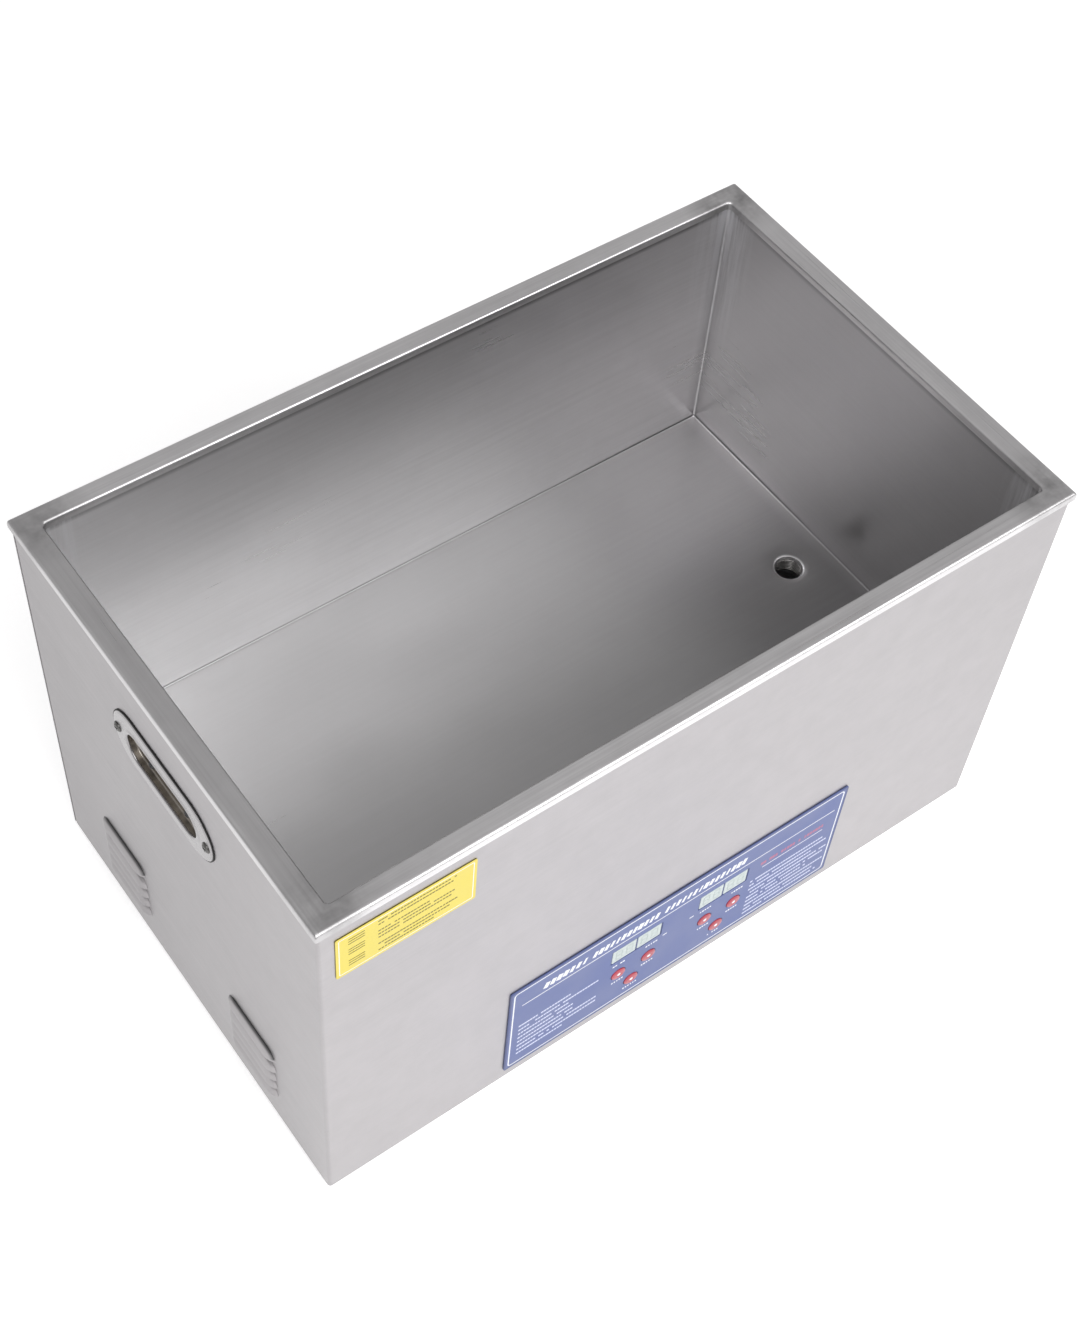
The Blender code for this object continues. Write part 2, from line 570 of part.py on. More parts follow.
def make_generator():
    """The generator board on its standoffs, the heat sink and the output transformer."""
    board_top = BASE_TOP + 9.6 * MM
    bm = bmesh.new()
    add_box(bm, (200 * MM, 110 * MM, 1.6 * MM), (-40 * MM, 0, board_top - 0.8 * MM))
    board = place(object_of("generator_board", bm), GREEN_BOARD)
    extras = bmesh.new()
    stand = board_top - MM - (BASE_TOP + GAP)
    for x in (-130 * MM, 50 * MM):
        for y in (-48 * MM, 48 * MM):
            add_rod(extras, 3.5 * MM, stand, (x, y, BASE_TOP + GAP + stand / 2), sides=6)
    for x, y in ((-122, -25), (-122, 5), (-95, -38)):
        add_rod(extras, 11 * MM, 29 * MM, (x * MM, y * MM, board_top + 14 * MM), sides=16)
    for x in (-62, -38, -14):
        add_box(extras, (16 * MM, 12 * MM, 17 * MM), (x * MM, -42 * MM, board_top + 8 * MM))
    add_box(extras, (60 * MM, 9 * MM, 11 * MM), (-60 * MM, 49 * MM, board_top + 5 * MM))
    boolean(board, cutter_of("generator_board_parts", extras), "UNION")

    fins = bmesh.new()
    sink_foot = board_top + GAP
    add_box(fins, (78 * MM, 34 * MM, 5 * MM), (-62 * MM, 6 * MM, sink_foot + 2.5 * MM))
    sink = place(object_of("heat_sink", fins), ALUMINIUM)
    blades = bmesh.new()
    for index in range(9):
        x = -62 * MM + (index - 4) * 9 * MM
        add_box(blades, (1.8 * MM, 33 * MM, 24 * MM), (x, 6 * MM, sink_foot + 16 * MM))
    boolean(sink, cutter_of("heat_sink_fins", blades), "UNION")

    core = bmesh.new()
    add_box(core, (46 * MM, 18 * MM, 30 * MM), (18 * MM, 0, sink_foot + 15 * MM))
    transformer = place(object_of("output_transformer", core), COPPER)
    winding = bmesh.new()
    add_rod(winding, 16 * MM, 20 * MM, (18 * MM, 0, sink_foot + 15.5 * MM), sides=20)
    boolean(transformer, cutter_of("transformer_winding", winding), "UNION")


def make_fan():
    """A square axial fan on the rear panel: a frame with struts and a rotor with swept blades."""
    rear_face = FRONT - CASE_SHEET - GAP
    middle = (FAN_X, rear_face - FAN_DEPTH / 2, FAN_HEIGHT)
    bm = bmesh.new()
    add_box(bm, (FAN_SIZE, FAN_DEPTH, FAN_SIZE), middle)
    frame = place(object_of("fan_frame", bm), BLACK_PLASTIC)
    bore = bmesh.new()
    add_rod(bore, 38 * MM, 2 * FAN_DEPTH, middle, (0, 1, 0), 32)
    boolean(frame, cutter_of("fan_bore", bore), "DIFFERENCE")
    spider = bmesh.new()
    strut_y = rear_face - FAN_DEPTH + 2 * MM
    add_rod(spider, 15 * MM, 3 * MM, (FAN_X, strut_y, FAN_HEIGHT), (0, 1, 0), 20)
    for turn in (math.radians(45), math.radians(135)):
        verts = add_box(spider, (78 * MM, 2.4 * MM, 4 * MM), (0, 0, 0))
        bmesh.ops.rotate(spider, verts=verts, matrix=Matrix.Rotation(turn, 3, "Y"))
        bmesh.ops.translate(spider, verts=verts, vec=(FAN_X, strut_y, FAN_HEIGHT))
    boolean(frame, cutter_of("fan_spider", spider), "UNION", joined=True)

    hub_depth = FAN_DEPTH - 6 * MM
    rotor_y = rear_face - hub_depth / 2 - 1 * MM
    bm = bmesh.new()
    add_rod(bm, 14 * MM, hub_depth, (0, 0, 0), (0, 1, 0), 20)
    rotor = place(object_of("fan_rotor", bm), BLACK_PLASTIC, (FAN_X, rotor_y, FAN_HEIGHT))
    blades = bmesh.new()
    for index in range(7):
        verts = add_box(blades, (24 * MM, 1.6 * MM, 17 * MM), (24.5 * MM, 0, 0))
        for vert in verts:
            twist = math.radians(48 if vert.co.x > 24 * MM else 32)
            vert.co = Matrix.Rotation(twist, 3, "X") @ vert.co
        bmesh.ops.rotate(blades, verts=verts, matrix=Matrix.Rotation(2 * math.pi * index / 7, 3, "Y"))
    for vert in blades.verts:
        vert.co += Vector((FAN_X, rotor_y, FAN_HEIGHT))
    boolean(rotor, cutter_of("fan_blades", blades), "UNION")


def make_mains():
    """The appliance inlet with its three pins, and the rocker switch."""
    face = FRONT + GAP
    bm = bmesh.new()
    add_box(bm, (48 * MM, 3 * MM, 24 * MM), (INLET_X, face + 1.5 * MM, MAINS_HEIGHT))
    inlet = place(object_of("power_inlet", bm), BLACK_PLASTIC)
    body = bmesh.new()
    add_box(body, (27.4 * MM, 24 * MM, 20 * MM), (INLET_X, face + MM - 11 * MM, MAINS_HEIGHT))
    boolean(inlet, cutter_of("inlet_body", body), "UNION")
    cavity = bmesh.new()
    add_box(cavity, (24.4 * MM, 40 * MM, 16.4 * MM), (INLET_X, face + 4 * MM, MAINS_HEIGHT))
    boolean(inlet, cutter_of("inlet_cavity", cavity), "DIFFERENCE")
    pins = bmesh.new()
    for x, z in ((-7, -1.5), (7, -1.5), (0, 2.5)):
        add_box(pins, (2 * MM, 16 * MM, 4 * MM), (INLET_X + x * MM, face - 10 * MM, MAINS_HEIGHT + z * MM))
    boolean(inlet, cutter_of("inlet_pins", pins), "UNION")

    bm = bmesh.new()
    add_box(bm, (26 * MM, 2 * MM, 32 * MM), (SWITCH_X, face + MM, MAINS_HEIGHT))
    housing = place(object_of("switch_housing", bm), BLACK_PLASTIC)
    body = bmesh.new()
    add_box(body, (21.6 * MM, 20 * MM, 27.6 * MM), (SWITCH_X, face + 0.5 * MM - 9.5 * MM, MAINS_HEIGHT))
    boolean(housing, cutter_of("switch_body", body), "UNION")
    well = bmesh.new()
    add_box(well, (18.4 * MM, 30 * MM, 25.4 * MM), (SWITCH_X, face + 4.5 * MM, MAINS_HEIGHT))
    boolean(housing, cutter_of("switch_well", well), "DIFFERENCE")

    pivot_y = face - 3 * MM
    outline = [(-11.6, 2.0), (-11.0, 5.6), (0, 4.2), (11.0, 5.6), (11.6, 2.0), (5, -4.2), (-5, -4.2)]
    curve = bpy.data.curves.new("switch_rocker", "CURVE")
    curve.dimensions = "2D"
    curve.fill_mode = "BOTH"
    curve.extrude = 8.9 * MM
    spline = curve.splines.new("POLY")
    spline.points.add(len(outline) - 1)
    for point, (along, out) in zip(spline.points, outline):
        point.co = (along * MM, out * MM, 0, 1)
    spline.use_cyclic_u = True
    rocker = bpy.data.objects.new("switch_rocker", curve)
    upright = Matrix(((0, 0, 1), (0, 1, 0), (-1, 0, 0)))
    tilted = Matrix.Rotation(-ROCKER_TILT, 3, "X") @ upright
    place(rocker, RED_PLASTIC, (SWITCH_X, pivot_y, MAINS_HEIGHT), tilted.to_euler())


# ---------------------------------------------------------------- drain


def make_drain_pipe():
    """A pipe welded under the floor hole, bent towards the right side, and its lock nut outside the wall."""
    curve = bpy.data.curves.new("drain_pipe", "CURVE")
    curve.dimensions = "3D"
    curve.bevel_depth = PIPE_RADIUS
    curve.bevel_resolution = 3
    bend = [
        (DRAIN_X + PIPE_BEND * (1 - math.cos(turn)), PIPE_HEIGHT + PIPE_BEND * (1 - math.sin(turn)))
        for turn in np.linspace(0, math.pi / 2, 7)
    ]
    route = [(DRAIN_X, UNDER_TANK - GAP), *bend, (VALVE_X - 14.5 * MM, PIPE_HEIGHT)]
    spline = curve.splines.new("POLY")
    spline.points.add(len(route) - 1)
    for point, (x, z) in zip(spline.points, route):
        point.co = (x, 0, z, 1)
    pipe = bpy.data.objects.new("drain_pipe", evaluated_mesh(bpy.data.objects.new("drain_line", curve)))
    place(pipe, TANK_STEEL)
    sheet(pipe, PIPE_WALL)

    nut = bmesh.new()
    add_rod(nut, 19 * MM, 5 * MM, (SIDE + GAP + 2.5 * MM, 0, PIPE_HEIGHT), (1, 0, 0), 6)
    lock_nut = place(object_of("drain_lock_nut", nut), BRASS)
    hole = bmesh.new()
    add_rod(hole, PIPE_RADIUS + 0.4 * MM, 20 * MM, (SIDE, 0, PIPE_HEIGHT), (1, 0, 0), 24)
    boolean(lock_nut, cutter_of("lock_nut_hole", hole), "DIFFERENCE")


def make_valve():
    """A quarter-turn ball valve: body, screwed end, two seats, ball, stem, lever, grip and nut."""
    centre = (VALVE_X, 0, PIPE_HEIGHT)
    body = [(12.4, -24), (16.5, -24), (16.5, -13), (17.5, -11), (17.5, 14), (16, 16), (13, 16), (13, 11.1)]
    body += [(11.5, 11.1), (11.5, -11.1), (8, -11.1), (8, -14), (12.4, -14)]
    profile = [(radius * MM, along * MM) for radius, along in reversed(body)]
    valve_body = turned("valve_body", BRASS, profile, centre, (1, 0, 0), 18)
    neck = bmesh.new()
    add_rod(neck, 8 * MM, 14 * MM, (VALVE_X, 0, PIPE_HEIGHT + 19.5 * MM), sides=20)
    boolean(valve_body, cutter_of("valve_neck", neck), "UNION")
    stem_hole = bmesh.new()
    add_rod(stem_hole, 4.4 * MM, 40 * MM, (VALVE_X, 0, PIPE_HEIGHT + 26 * MM), sides=16)
    boolean(valve_body, cutter_of("stem_hole", stem_hole), "DIFFERENCE")

    end = [(12.6, 11.4), (8, 11.4), (8, VALVE_OUTLET / MM), (10.4, VALVE_OUTLET / MM)]
    end += [(10.4, 24.5), (15.5, 24.5), (15.5, 16.3), (12.6, 16.3)]
    profile = [(radius * MM, along * MM) for radius, along in end]
    turned("valve_end", BRASS, profile, centre, (1, 0, 0), 18)
    for name, side in (("inner", -1), ("outer", 1)):
        seat = [(8.6, 7.4), (8.6, 10.8), (11.2, 10.8), (11.2, 7.4)]
        seat = [(radius * MM, side * along * MM) for radius, along in seat][:: side]
        turned(f"valve_seat_{name}", WHITE_SEAT, seat, centre, (1, 0, 0), 18)

    bm = bmesh.new()
    bmesh.ops.create_uvsphere(bm, u_segments=16, v_segments=10, radius=BALL_RADIUS)
    ball = place(object_of("valve_ball", bm), BRIGHT_STEEL, centre)
    cuts = bmesh.new()
    add_rod(cuts, VALVE_BORE, 60 * MM, centre, (0, 1, 0), 20)
    add_box(cuts, (3.6 * MM, 30 * MM, 6 * MM), (VALVE_X, 0, PIPE_HEIGHT + 12 * MM))
    boolean(ball, cutter_of("ball_cuts", cuts), "DIFFERENCE")

    stem_top = 36 * MM
    stem = [(0, stem_top), (4 * MM, stem_top), (4 * MM, 11.6 * MM), (0, 11.6 * MM)]
    valve_stem = turned("valve_stem", BRIGHT_STEEL, stem, centre, steps=16)
    tongue = bmesh.new()
    add_box(tongue, (2.8 * MM, 6 * MM, 4 * MM), (VALVE_X, 0, PIPE_HEIGHT + 11.5 * MM))
    boolean(valve_stem, cutter_of("stem_tongue", tongue), "UNION")
    make_lever(centre, stem_top)


def make_lever(centre, stem_top):
    """A cranked strip on the stem, its dipped grip, and the nut above it. It points forward when shut."""
    plate = 26.9 * MM
    strip = 2.4 * MM
    line = [(8, 0), (-14, 0), (-24, 7), (-LEVER_REACH / MM, 7)]
    bm = bmesh.new()
    verts = [bm.verts.new((-6.5 * MM, y * MM, plate + z * MM)) for y, z in line]
    edges = [bm.edges.new(pair) for pair in zip(verts, verts[1:])]
    swept = bmesh.ops.extrude_edge_only(bm, edges=edges)["geom"]
    moved = [item for item in swept if isinstance(item, bmesh.types.BMVert)]
    bmesh.ops.translate(bm, verts=moved, vec=(13 * MM, 0, 0))
    bmesh.ops.recalc_face_normals(bm, faces=bm.faces)
    bm.normal_update()
    if sum(face.normal.z for face in bm.faces) < 0:
        bmesh.ops.reverse_faces(bm, faces=bm.faces)
    lever = place(object_of("valve_lever", bm), BRIGHT_STEEL, centre)
    sheet(lever, strip, outwards=True)
    hole = bmesh.new()
    add_rod(hole, 4.3 * MM, 20 * MM, (centre[0], 0, centre[2] + plate), sides=16)
    boolean(lever, cutter_of("lever_hole", hole), "DIFFERENCE")

    bm = bmesh.new()
    grip_length = 46 * MM
    grip_middle = -LEVER_REACH - 1.5 * MM + grip_length / 2
    add_box(bm, (17 * MM, grip_length, 6.4 * MM), (0, grip_middle, plate + 7 * MM + strip / 2))
    grip = place(object_of("lever_grip", bm), RED_PLASTIC, centre)
    bevel(grip, 1.6 * MM, 2)
    pocket = bmesh.new()
    pocket_place = (centre[0], -LEVER_REACH - GAP + grip_length / 2, centre[2] + plate + 7 * MM + strip / 2)
    add_box(pocket, (13.6 * MM, grip_length, 3.0 * MM), pocket_place)
    boolean(grip, cutter_of("grip_pocket", pocket), "DIFFERENCE")

    nut_low = plate + strip + GAP
    bm = bmesh.new()
    add_rod(bm, 7.4 * MM, 5 * MM, (0, 0, nut_low + 2.5 * MM), sides=6)
    nut = place(object_of("lever_nut", bm), BRIGHT_STEEL, centre)
    hole = bmesh.new()
    add_rod(hole, 4.3 * MM, 20 * MM, (centre[0], 0, centre[2] + nut_low), sides=16)
    boolean(nut, cutter_of("lever_nut_hole", hole), "DIFFERENCE")


def shade_round():
    for obj in PARTS.objects:
        if obj.type == "MESH":
            obj.data.shade_smooth()
            obj.data.set_sharp_from_angle(angle=math.radians(30))


make_tank()
make_rim()
make_shell()
make_rear_panel()
make_base()
make_feet()
make_handle("handle_left", -1)
make_handle("handle_right", 1)
make_control_panel()
make_displays()
make_buttons()
make_control_board()
make_transducers()
make_heaters_and_sensor()
make_generator()
make_fan()
make_mains()
make_drain_pipe()
make_valve()
shade_round()
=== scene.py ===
# %% [markdown]
# # A bench-top ultrasonic cleaner
# A welded stainless tank hangs in a folded steel case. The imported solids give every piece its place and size.
# This file keeps that frame as it is and builds the looks around it: rounded sheet metal, louvres, a printed
# panel, push buttons, a drain valve and the fittings on the back.

import json
import math

import bmesh
import bpy
from mathutils import Euler, Matrix, Vector

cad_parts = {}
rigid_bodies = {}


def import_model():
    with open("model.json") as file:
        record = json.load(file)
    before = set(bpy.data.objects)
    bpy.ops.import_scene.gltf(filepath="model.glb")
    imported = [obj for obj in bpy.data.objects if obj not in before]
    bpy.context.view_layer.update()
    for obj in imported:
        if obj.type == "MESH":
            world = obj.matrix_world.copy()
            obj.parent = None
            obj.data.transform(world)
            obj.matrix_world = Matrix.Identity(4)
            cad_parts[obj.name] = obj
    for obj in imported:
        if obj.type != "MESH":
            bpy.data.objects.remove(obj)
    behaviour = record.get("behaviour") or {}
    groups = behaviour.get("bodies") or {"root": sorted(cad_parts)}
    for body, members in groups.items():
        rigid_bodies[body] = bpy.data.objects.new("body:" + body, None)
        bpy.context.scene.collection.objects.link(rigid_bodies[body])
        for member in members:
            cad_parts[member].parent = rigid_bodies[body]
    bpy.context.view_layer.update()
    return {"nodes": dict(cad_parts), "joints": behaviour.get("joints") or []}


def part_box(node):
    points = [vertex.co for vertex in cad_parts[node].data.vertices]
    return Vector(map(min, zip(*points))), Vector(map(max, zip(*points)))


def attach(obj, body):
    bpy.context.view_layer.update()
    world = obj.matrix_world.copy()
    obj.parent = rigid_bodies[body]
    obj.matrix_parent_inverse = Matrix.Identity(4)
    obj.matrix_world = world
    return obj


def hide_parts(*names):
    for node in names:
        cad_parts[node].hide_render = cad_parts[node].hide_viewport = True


for leftover in list(bpy.data.objects):
    bpy.data.objects.remove(leftover)
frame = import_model()
print("nodes:", len(frame["nodes"]))

# %% [markdown]
# ## Measures
# Sheet-metal work starts from a few datum faces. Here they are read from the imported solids: the case's centre,
# its outer faces, the rim's top and the tank's floor. Every later place is counted from them.

# %% Read the datum faces
MM = 0.001
rim_low, rim_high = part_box("rim_frame")
tank_low, tank_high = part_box("tank")
back_low, back_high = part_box("rear_panel")
panel_low, panel_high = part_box("control_panel")
CENTRE = (rim_low.x + rim_high.x) / 2
RIM_TOP = rim_high.z
SHEET, RIM_SHEET = 1.0 * MM, 1.2 * MM
SIDE = (back_high.x - back_low.x) / 2
FRONT = back_high.y
CASE_LOW, CASE_TOP = back_low.z, back_high.z
TANK_FLOOR = tank_low.z + RIM_SHEET
TANK_HALF = ((tank_high.x - tank_low.x) / 2 - RIM_SHEET, tank_high.y - RIM_SHEET)
OPENING = (249.75 * MM, 147.25 * MM)
LIP = 6 * MM
DRAIN_X = 217 * MM
HANDLE_HEIGHT = CASE_LOW + 248 * MM
PIPE_HEIGHT = CASE_LOW + 76 * MM
LOUVRE_TOP = CASE_LOW + 78 * MM
print(f"case {2000 * SIDE:.0f} x {2000 * FRONT:.0f} mm, rim top {1000 * RIM_TOP:.0f} mm")


def middle_of(node):
    low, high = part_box(node)
    return Vector(((low.x + high.x) / 2, (low.y + high.y) / 2, (low.z + high.z) / 2))


def new_object(name, data):
    made = bpy.data.objects.new(name, data)
    bpy.context.scene.collection.objects.link(made)
    return made


# %% [markdown]
# ## Camera and light
# The view looks down into the tank from the front left corner. A long lens keeps the case's upright edges close
# to parallel. The light is a pale studio: a bright world, a large soft lamp above, a weaker one in front and a
# narrow one that lights the rim's front edge.

# %% Place the camera
CAMERA_PLACE = Vector((CENTRE - 0.5216, -0.6091, CASE_LOW + 1.2481))
AZIMUTH, ELEVATION, ROLL = math.radians(-40.58), math.radians(53.42), math.radians(5.67)
LENS_MM = 58.29
level_x, level_y = math.sin(AZIMUTH) * math.cos(ELEVATION), -math.cos(AZIMUTH) * math.cos(ELEVATION)
away = -Vector((level_x, level_y, math.sin(ELEVATION)))
camera = new_object("studio_camera", bpy.data.cameras.new("studio_camera"))
camera.data.lens = LENS_MM
camera.rotation_mode = "QUATERNION"
camera.rotation_quaternion = away.to_track_quat("-Z", "Y") @ Euler((0, 0, ROLL)).to_quaternion()
camera.location = CAMERA_PLACE
bpy.context.scene.camera = camera
bpy.context.scene.view_settings.view_transform = "Standard"


# %% Light the studio
def soft_lamp(name, place, aim, size, watts):
    lamp = new_object(name, bpy.data.lights.new(name, "AREA"))
    lamp.data.shape = "RECTANGLE"
    lamp.data.size, lamp.data.size_y = size
    lamp.data.energy = watts
    lamp.location = place
    lamp.rotation_euler = (Vector(aim) - Vector(place)).to_track_quat("-Z", "Y").to_euler()


SKY_COLOUR, SKY_STRENGTH = (0.965, 0.955, 0.96, 1), 0.48
world = bpy.data.worlds.new("pale_studio")
bpy.context.scene.world = world
world.use_nodes = True
background = world.node_tree.nodes["Background"]
background.inputs["Color"].default_value = SKY_COLOUR
background.inputs["Strength"].default_value = SKY_STRENGTH
soft_lamp("overhead_softbox", (-0.9, -1.3, 2.3), (-0.1, -0.2, 0), (2.4, 1.6), 38)
soft_lamp("front_softbox", (0.9, -1.9, 1.7), (0.3, -0.5, 0), (1.4, 1.0), 20)
soft_lamp("edge_softbox", (0.7, -2.0, 1.25), (0.2, -0.4, 0.2), (2.0, 0.4), 2.4)

# %% [markdown]
# ## Helpers for shapes
# Folded sheet, stampings and turned fittings all have one thing in common: a cross-section whose corners are
# arcs. `fillet` rounds such a section, `ring` draws a rectangle, stadium or circle with it, and `loft` skins the
# rings. Screws, nuts and knobs are lofts of circles or hexagons.


# %% Draw rounded sections and rings
def fillet(corners, steps=5, closed=False):
    """Turns (a, b, radius) corners into points, where each corner becomes an arc of its radius."""
    points = []
    for index, (a, b, radius) in enumerate(corners):
        at_end = not closed and index in (0, len(corners) - 1)
        here = Vector((a, b))
        if radius == 0 or at_end:
            points.append(here)
            continue
        before = (Vector(corners[index - 1][:2]) - here).normalized()
        after = (Vector(corners[(index + 1) % len(corners)][:2]) - here).normalized()
        half = before.angle(after) / 2
        centre = here + (before + after).normalized() * radius / math.sin(half)
        start = here + before * radius / math.tan(half) - centre
        end = here + after * radius / math.tan(half) - centre
        points += [centre + start.slerp(end, step / steps).normalized() * radius for step in range(steps + 1)]
    return points


def ring(half_x, half_y, radius, height=0.0, centre=(0.0, 0.0), steps=6):
    """Points anticlockwise round a rectangle with round corners; a stadium and a circle are special cases."""
    points = []
    for quarter, (right, up) in enumerate(((1, 1), (-1, 1), (-1, -1), (1, -1))):
        for step in range(steps + 1):
            turn = math.pi / 2 * (quarter + step / steps)
            x = right * (half_x - radius) + radius * math.cos(turn)
            y = up * (half_y - radius) + radius * math.sin(turn)
            points.append((centre[0] + x, centre[1] + y, height))
    return points


def circle(radius, height=0.0, sides=48):
    angles = [2 * math.pi * index / sides for index in range(sides)]
    return [(radius * math.cos(angle), radius * math.sin(angle), height) for angle in angles]


def loft(bm, rings, closed=False, capped=False):
    """Skins rings that have the same number of points, and may join the last to the first or cap both ends."""
    rows = [[bm.verts.new(point) for point in points] for points in rings]
    for low, high in zip(rows, rows[1:] + rows[:1] if closed else rows[1:]):
        for index in range(len(low)):
            following = (index + 1) % len(low)
            bm.faces.new((low[index], low[following], high[following], high[index]))
    if capped:
        bm.faces.new(rows[0])
        bm.faces.new(rows[-1])
    return bm


def solid(rings):
    return loft(bmesh.new(), rings, capped=True)


def hollow(rings):
    return loft(bmesh.new(), rings, closed=True)


def turned(section, sides=48):
    """Circles from (radius, height) rows in millimetres."""
    return [circle(radius * MM, height * MM, sides) for radius, height in section]


def add_box(bm, size, centre, turn=Matrix()):
    bmesh.ops.create_cube(bm, size=1, matrix=Matrix.Translation(centre) @ turn @ Matrix.Diagonal((*size, 1)))


def facing(direction, place):
    """A frame whose Z looks along a direction and whose Y points up, or back for a level piece."""
    look = Vector(direction).normalized()
    up = Vector((0, 0, 1)) if abs(look.z) < 0.9 else Vector((0, 1, 0))
    across = up.cross(look).normalized()
    turned = Matrix((across, look.cross(across), look)).transposed().to_4x4()
    return Matrix.Translation(place) @ turned


# %% [markdown]
# A finished piece is one mesh at the origin with its place in its points. `piece` does the last steps for all of
# them: it merges doubles, turns the faces outwards, shades round parts smoothly, sets the finish, hangs the piece
# on its body and hides the solids that it stands for.


# %% Finish a piece
def clean(bm):
    bmesh.ops.remove_doubles(bm, verts=bm.verts, dist=1e-6)
    bmesh.ops.dissolve_degenerate(bm, edges=bm.edges, dist=1e-7)
    bmesh.ops.recalc_face_normals(bm, faces=bm.faces)
    return bm


def object_from(name, bm):
    mesh = bpy.data.meshes.new(name)
    bm.to_mesh(mesh)
    bm.free()
    return new_object(name, mesh)


def thicken(obj, wall):
    """Gives an open skin its wall, inside the drawn face."""
    solidify = obj.modifiers.new("wall", "SOLIDIFY")
    solidify.thickness, solidify.offset = wall, -1
    return solidify


def cut_with(obj, cutter):
    cut = obj.modifiers.new("openings", "BOOLEAN")
    cut.operation, cut.object = "DIFFERENCE", cutter


def piece(name, bm, finish, stands_for=(), body="case", place=None, wall=0.0, cutter=None):
    obj = object_from(name, clean(bm))
    if place is not None:
        obj.data.transform(place)
    if wall:
        thicken(obj, wall).use_even_offset = True
    if cutter is not None:
        cut_with(obj, cutter)
    settle(obj, finish, stands_for, body)


def settle(obj, finish, stands_for=(), body="case"):
    """Applies the modifiers, then shades, paints and hangs the piece."""
    if obj.modifiers:
        bpy.context.view_layer.update()
        plain = bpy.data.meshes.new_from_object(obj.evaluated_get(bpy.context.evaluated_depsgraph_get()))
        obj.modifiers.clear()
        obj.data = plain
    obj.data.shade_smooth()
    obj.data.set_sharp_from_angle(angle=math.radians(32))
    if finish is not None:
        obj.data.materials.clear()
        obj.data.materials.append(finish)
    obj.modifiers.new("even shading", "WEIGHTED_NORMAL").keep_sharp = True
    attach(obj, body)
    if stands_for:
        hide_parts(*stands_for)
    print(f"{obj.name}: {len(obj.data.polygons)} faces")


def cutter_from(bm):
    """A shape that cuts openings, removed when the script has used it."""
    bmesh.ops.recalc_face_normals(bm, faces=bm.faces)
    return object_from("cutter", bm)


# %% [markdown]
# ## Finishes
# Stainless sheet isn't one grey. Rolling and brushing leave fine streaks in one direction, so its roughness and
# its tone change across the grain and hardly change along it. A stretched noise makes that grain. A slow, cloudy
# noise adds the uneven sheen, and a very soft wave in the bump bends the reflections as thin sheet does.


# %% Node shorthand and metal finishes
def add_node(tree, kind, inputs=(), **settings):
    made = tree.nodes.new(kind)
    for key, value in settings.items():
        setattr(made, key, value)
    for socket, value in dict(inputs).items():
        if isinstance(value, bpy.types.NodeSocket):
            tree.links.new(value, made.inputs[socket])
        else:
            made.inputs[socket].default_value = value
    return made


def new_finish(name, roughness, metallic=0.0, colour=(0.5, 0.5, 0.5)):
    finish = bpy.data.materials.new(name)
    finish.use_nodes = True
    shader = finish.node_tree.nodes["Principled BSDF"]
    shader.inputs["Base Color"].default_value = (*colour, 1)
    shader.inputs["Roughness"].default_value = roughness
    shader.inputs["Metallic"].default_value = metallic
    return finish, shader


def noise(tree, place, stretch, detail=3.0, sharpness=0.5):
    """Noise whose features are 1 / stretch metres long on each axis."""
    mapped = add_node(tree, "ShaderNodeMapping", {"Vector": place, "Scale": stretch}).outputs[0]
    inputs = {"Vector": mapped, "Scale": 1.0, "Detail": detail, "Roughness": sharpness}
    return add_node(tree, "ShaderNodeTexNoise", inputs).outputs[0]


def between(tree, value, low, high, start=0.3, end=0.7):
    """Maps a noise's middle range onto new limits."""
    inputs = {0: value, 1: start, 2: end, 3: low, 4: high}
    return add_node(tree, "ShaderNodeMapRange", inputs).outputs[0]


def combine(tree, operation, first, second):
    return add_node(tree, "ShaderNodeMath", {0: first, 1: second}, operation=operation).outputs[0]


def blend_colours(tree, share, first, second):
    inputs = {0: share, 6: first, 7: second}
    return add_node(tree, "ShaderNodeMix", inputs, data_type="RGBA").outputs[2]


def blend_values(tree, share, first, second):
    return add_node(tree, "ShaderNodeMix", {0: share, 2: first, 3: second}, data_type="FLOAT").outputs[0]


def add_up(tree, first, second):
    return combine(tree, "ADD", first, second)


def product(tree, first, *others):
    for other in others:
        first = combine(tree, "MULTIPLY", first, other)
    return first


def size_of(tree, value):
    return combine(tree, "ABSOLUTE", value, 0.0)


def axis(tree, vector, index):
    return add_node(tree, "ShaderNodeSeparateXYZ", {0: vector}).outputs[index]


def grey(tone):
    return (tone, tone, tone, 1)


def scaled(colour, share):
    return (*(share * value for value in colour), 1)


def bumps(tree, shader, layers):
    """Stacks (height, depth in metres) layers into one bump."""
    normal = None
    for height, depth in layers:
        inputs = {"Height": height, "Distance": depth, "Strength": 1.0}
        if normal is not None:
            inputs["Normal"] = normal
        normal = add_node(tree, "ShaderNodeBump", inputs).outputs[0]
    tree.links.new(normal, shader.inputs["Normal"])


# %% Find places on the metal
def past_opening(tree, place):
    """How far a point lies outside the tank's opening on X and on Y; both are negative inside it."""
    along = size_of(tree, combine(tree, "SUBTRACT", axis(tree, place, 0), CENTRE))
    across = size_of(tree, axis(tree, place, 1))
    return combine(tree, "SUBTRACT", along, OPENING[0]), combine(tree, "SUBTRACT", across, OPENING[1])


def past_wall(tree, place):
    """How far a point stands proud of the case's end walls."""
    along = size_of(tree, combine(tree, "SUBTRACT", axis(tree, place, 0), CENTRE))
    return combine(tree, "SUBTRACT", along, SIDE)


def near_corner(tree, place, reach, full):
    """Fades from one within `full` metres of an opening corner to zero at `reach`."""
    squares = [combine(tree, "POWER", size_of(tree, off), 2.0) for off in past_opening(tree, place)]
    return between(tree, combine(tree, "SQRT", add_up(tree, *squares), 0.0), 1.0, 0.0, full, reach)
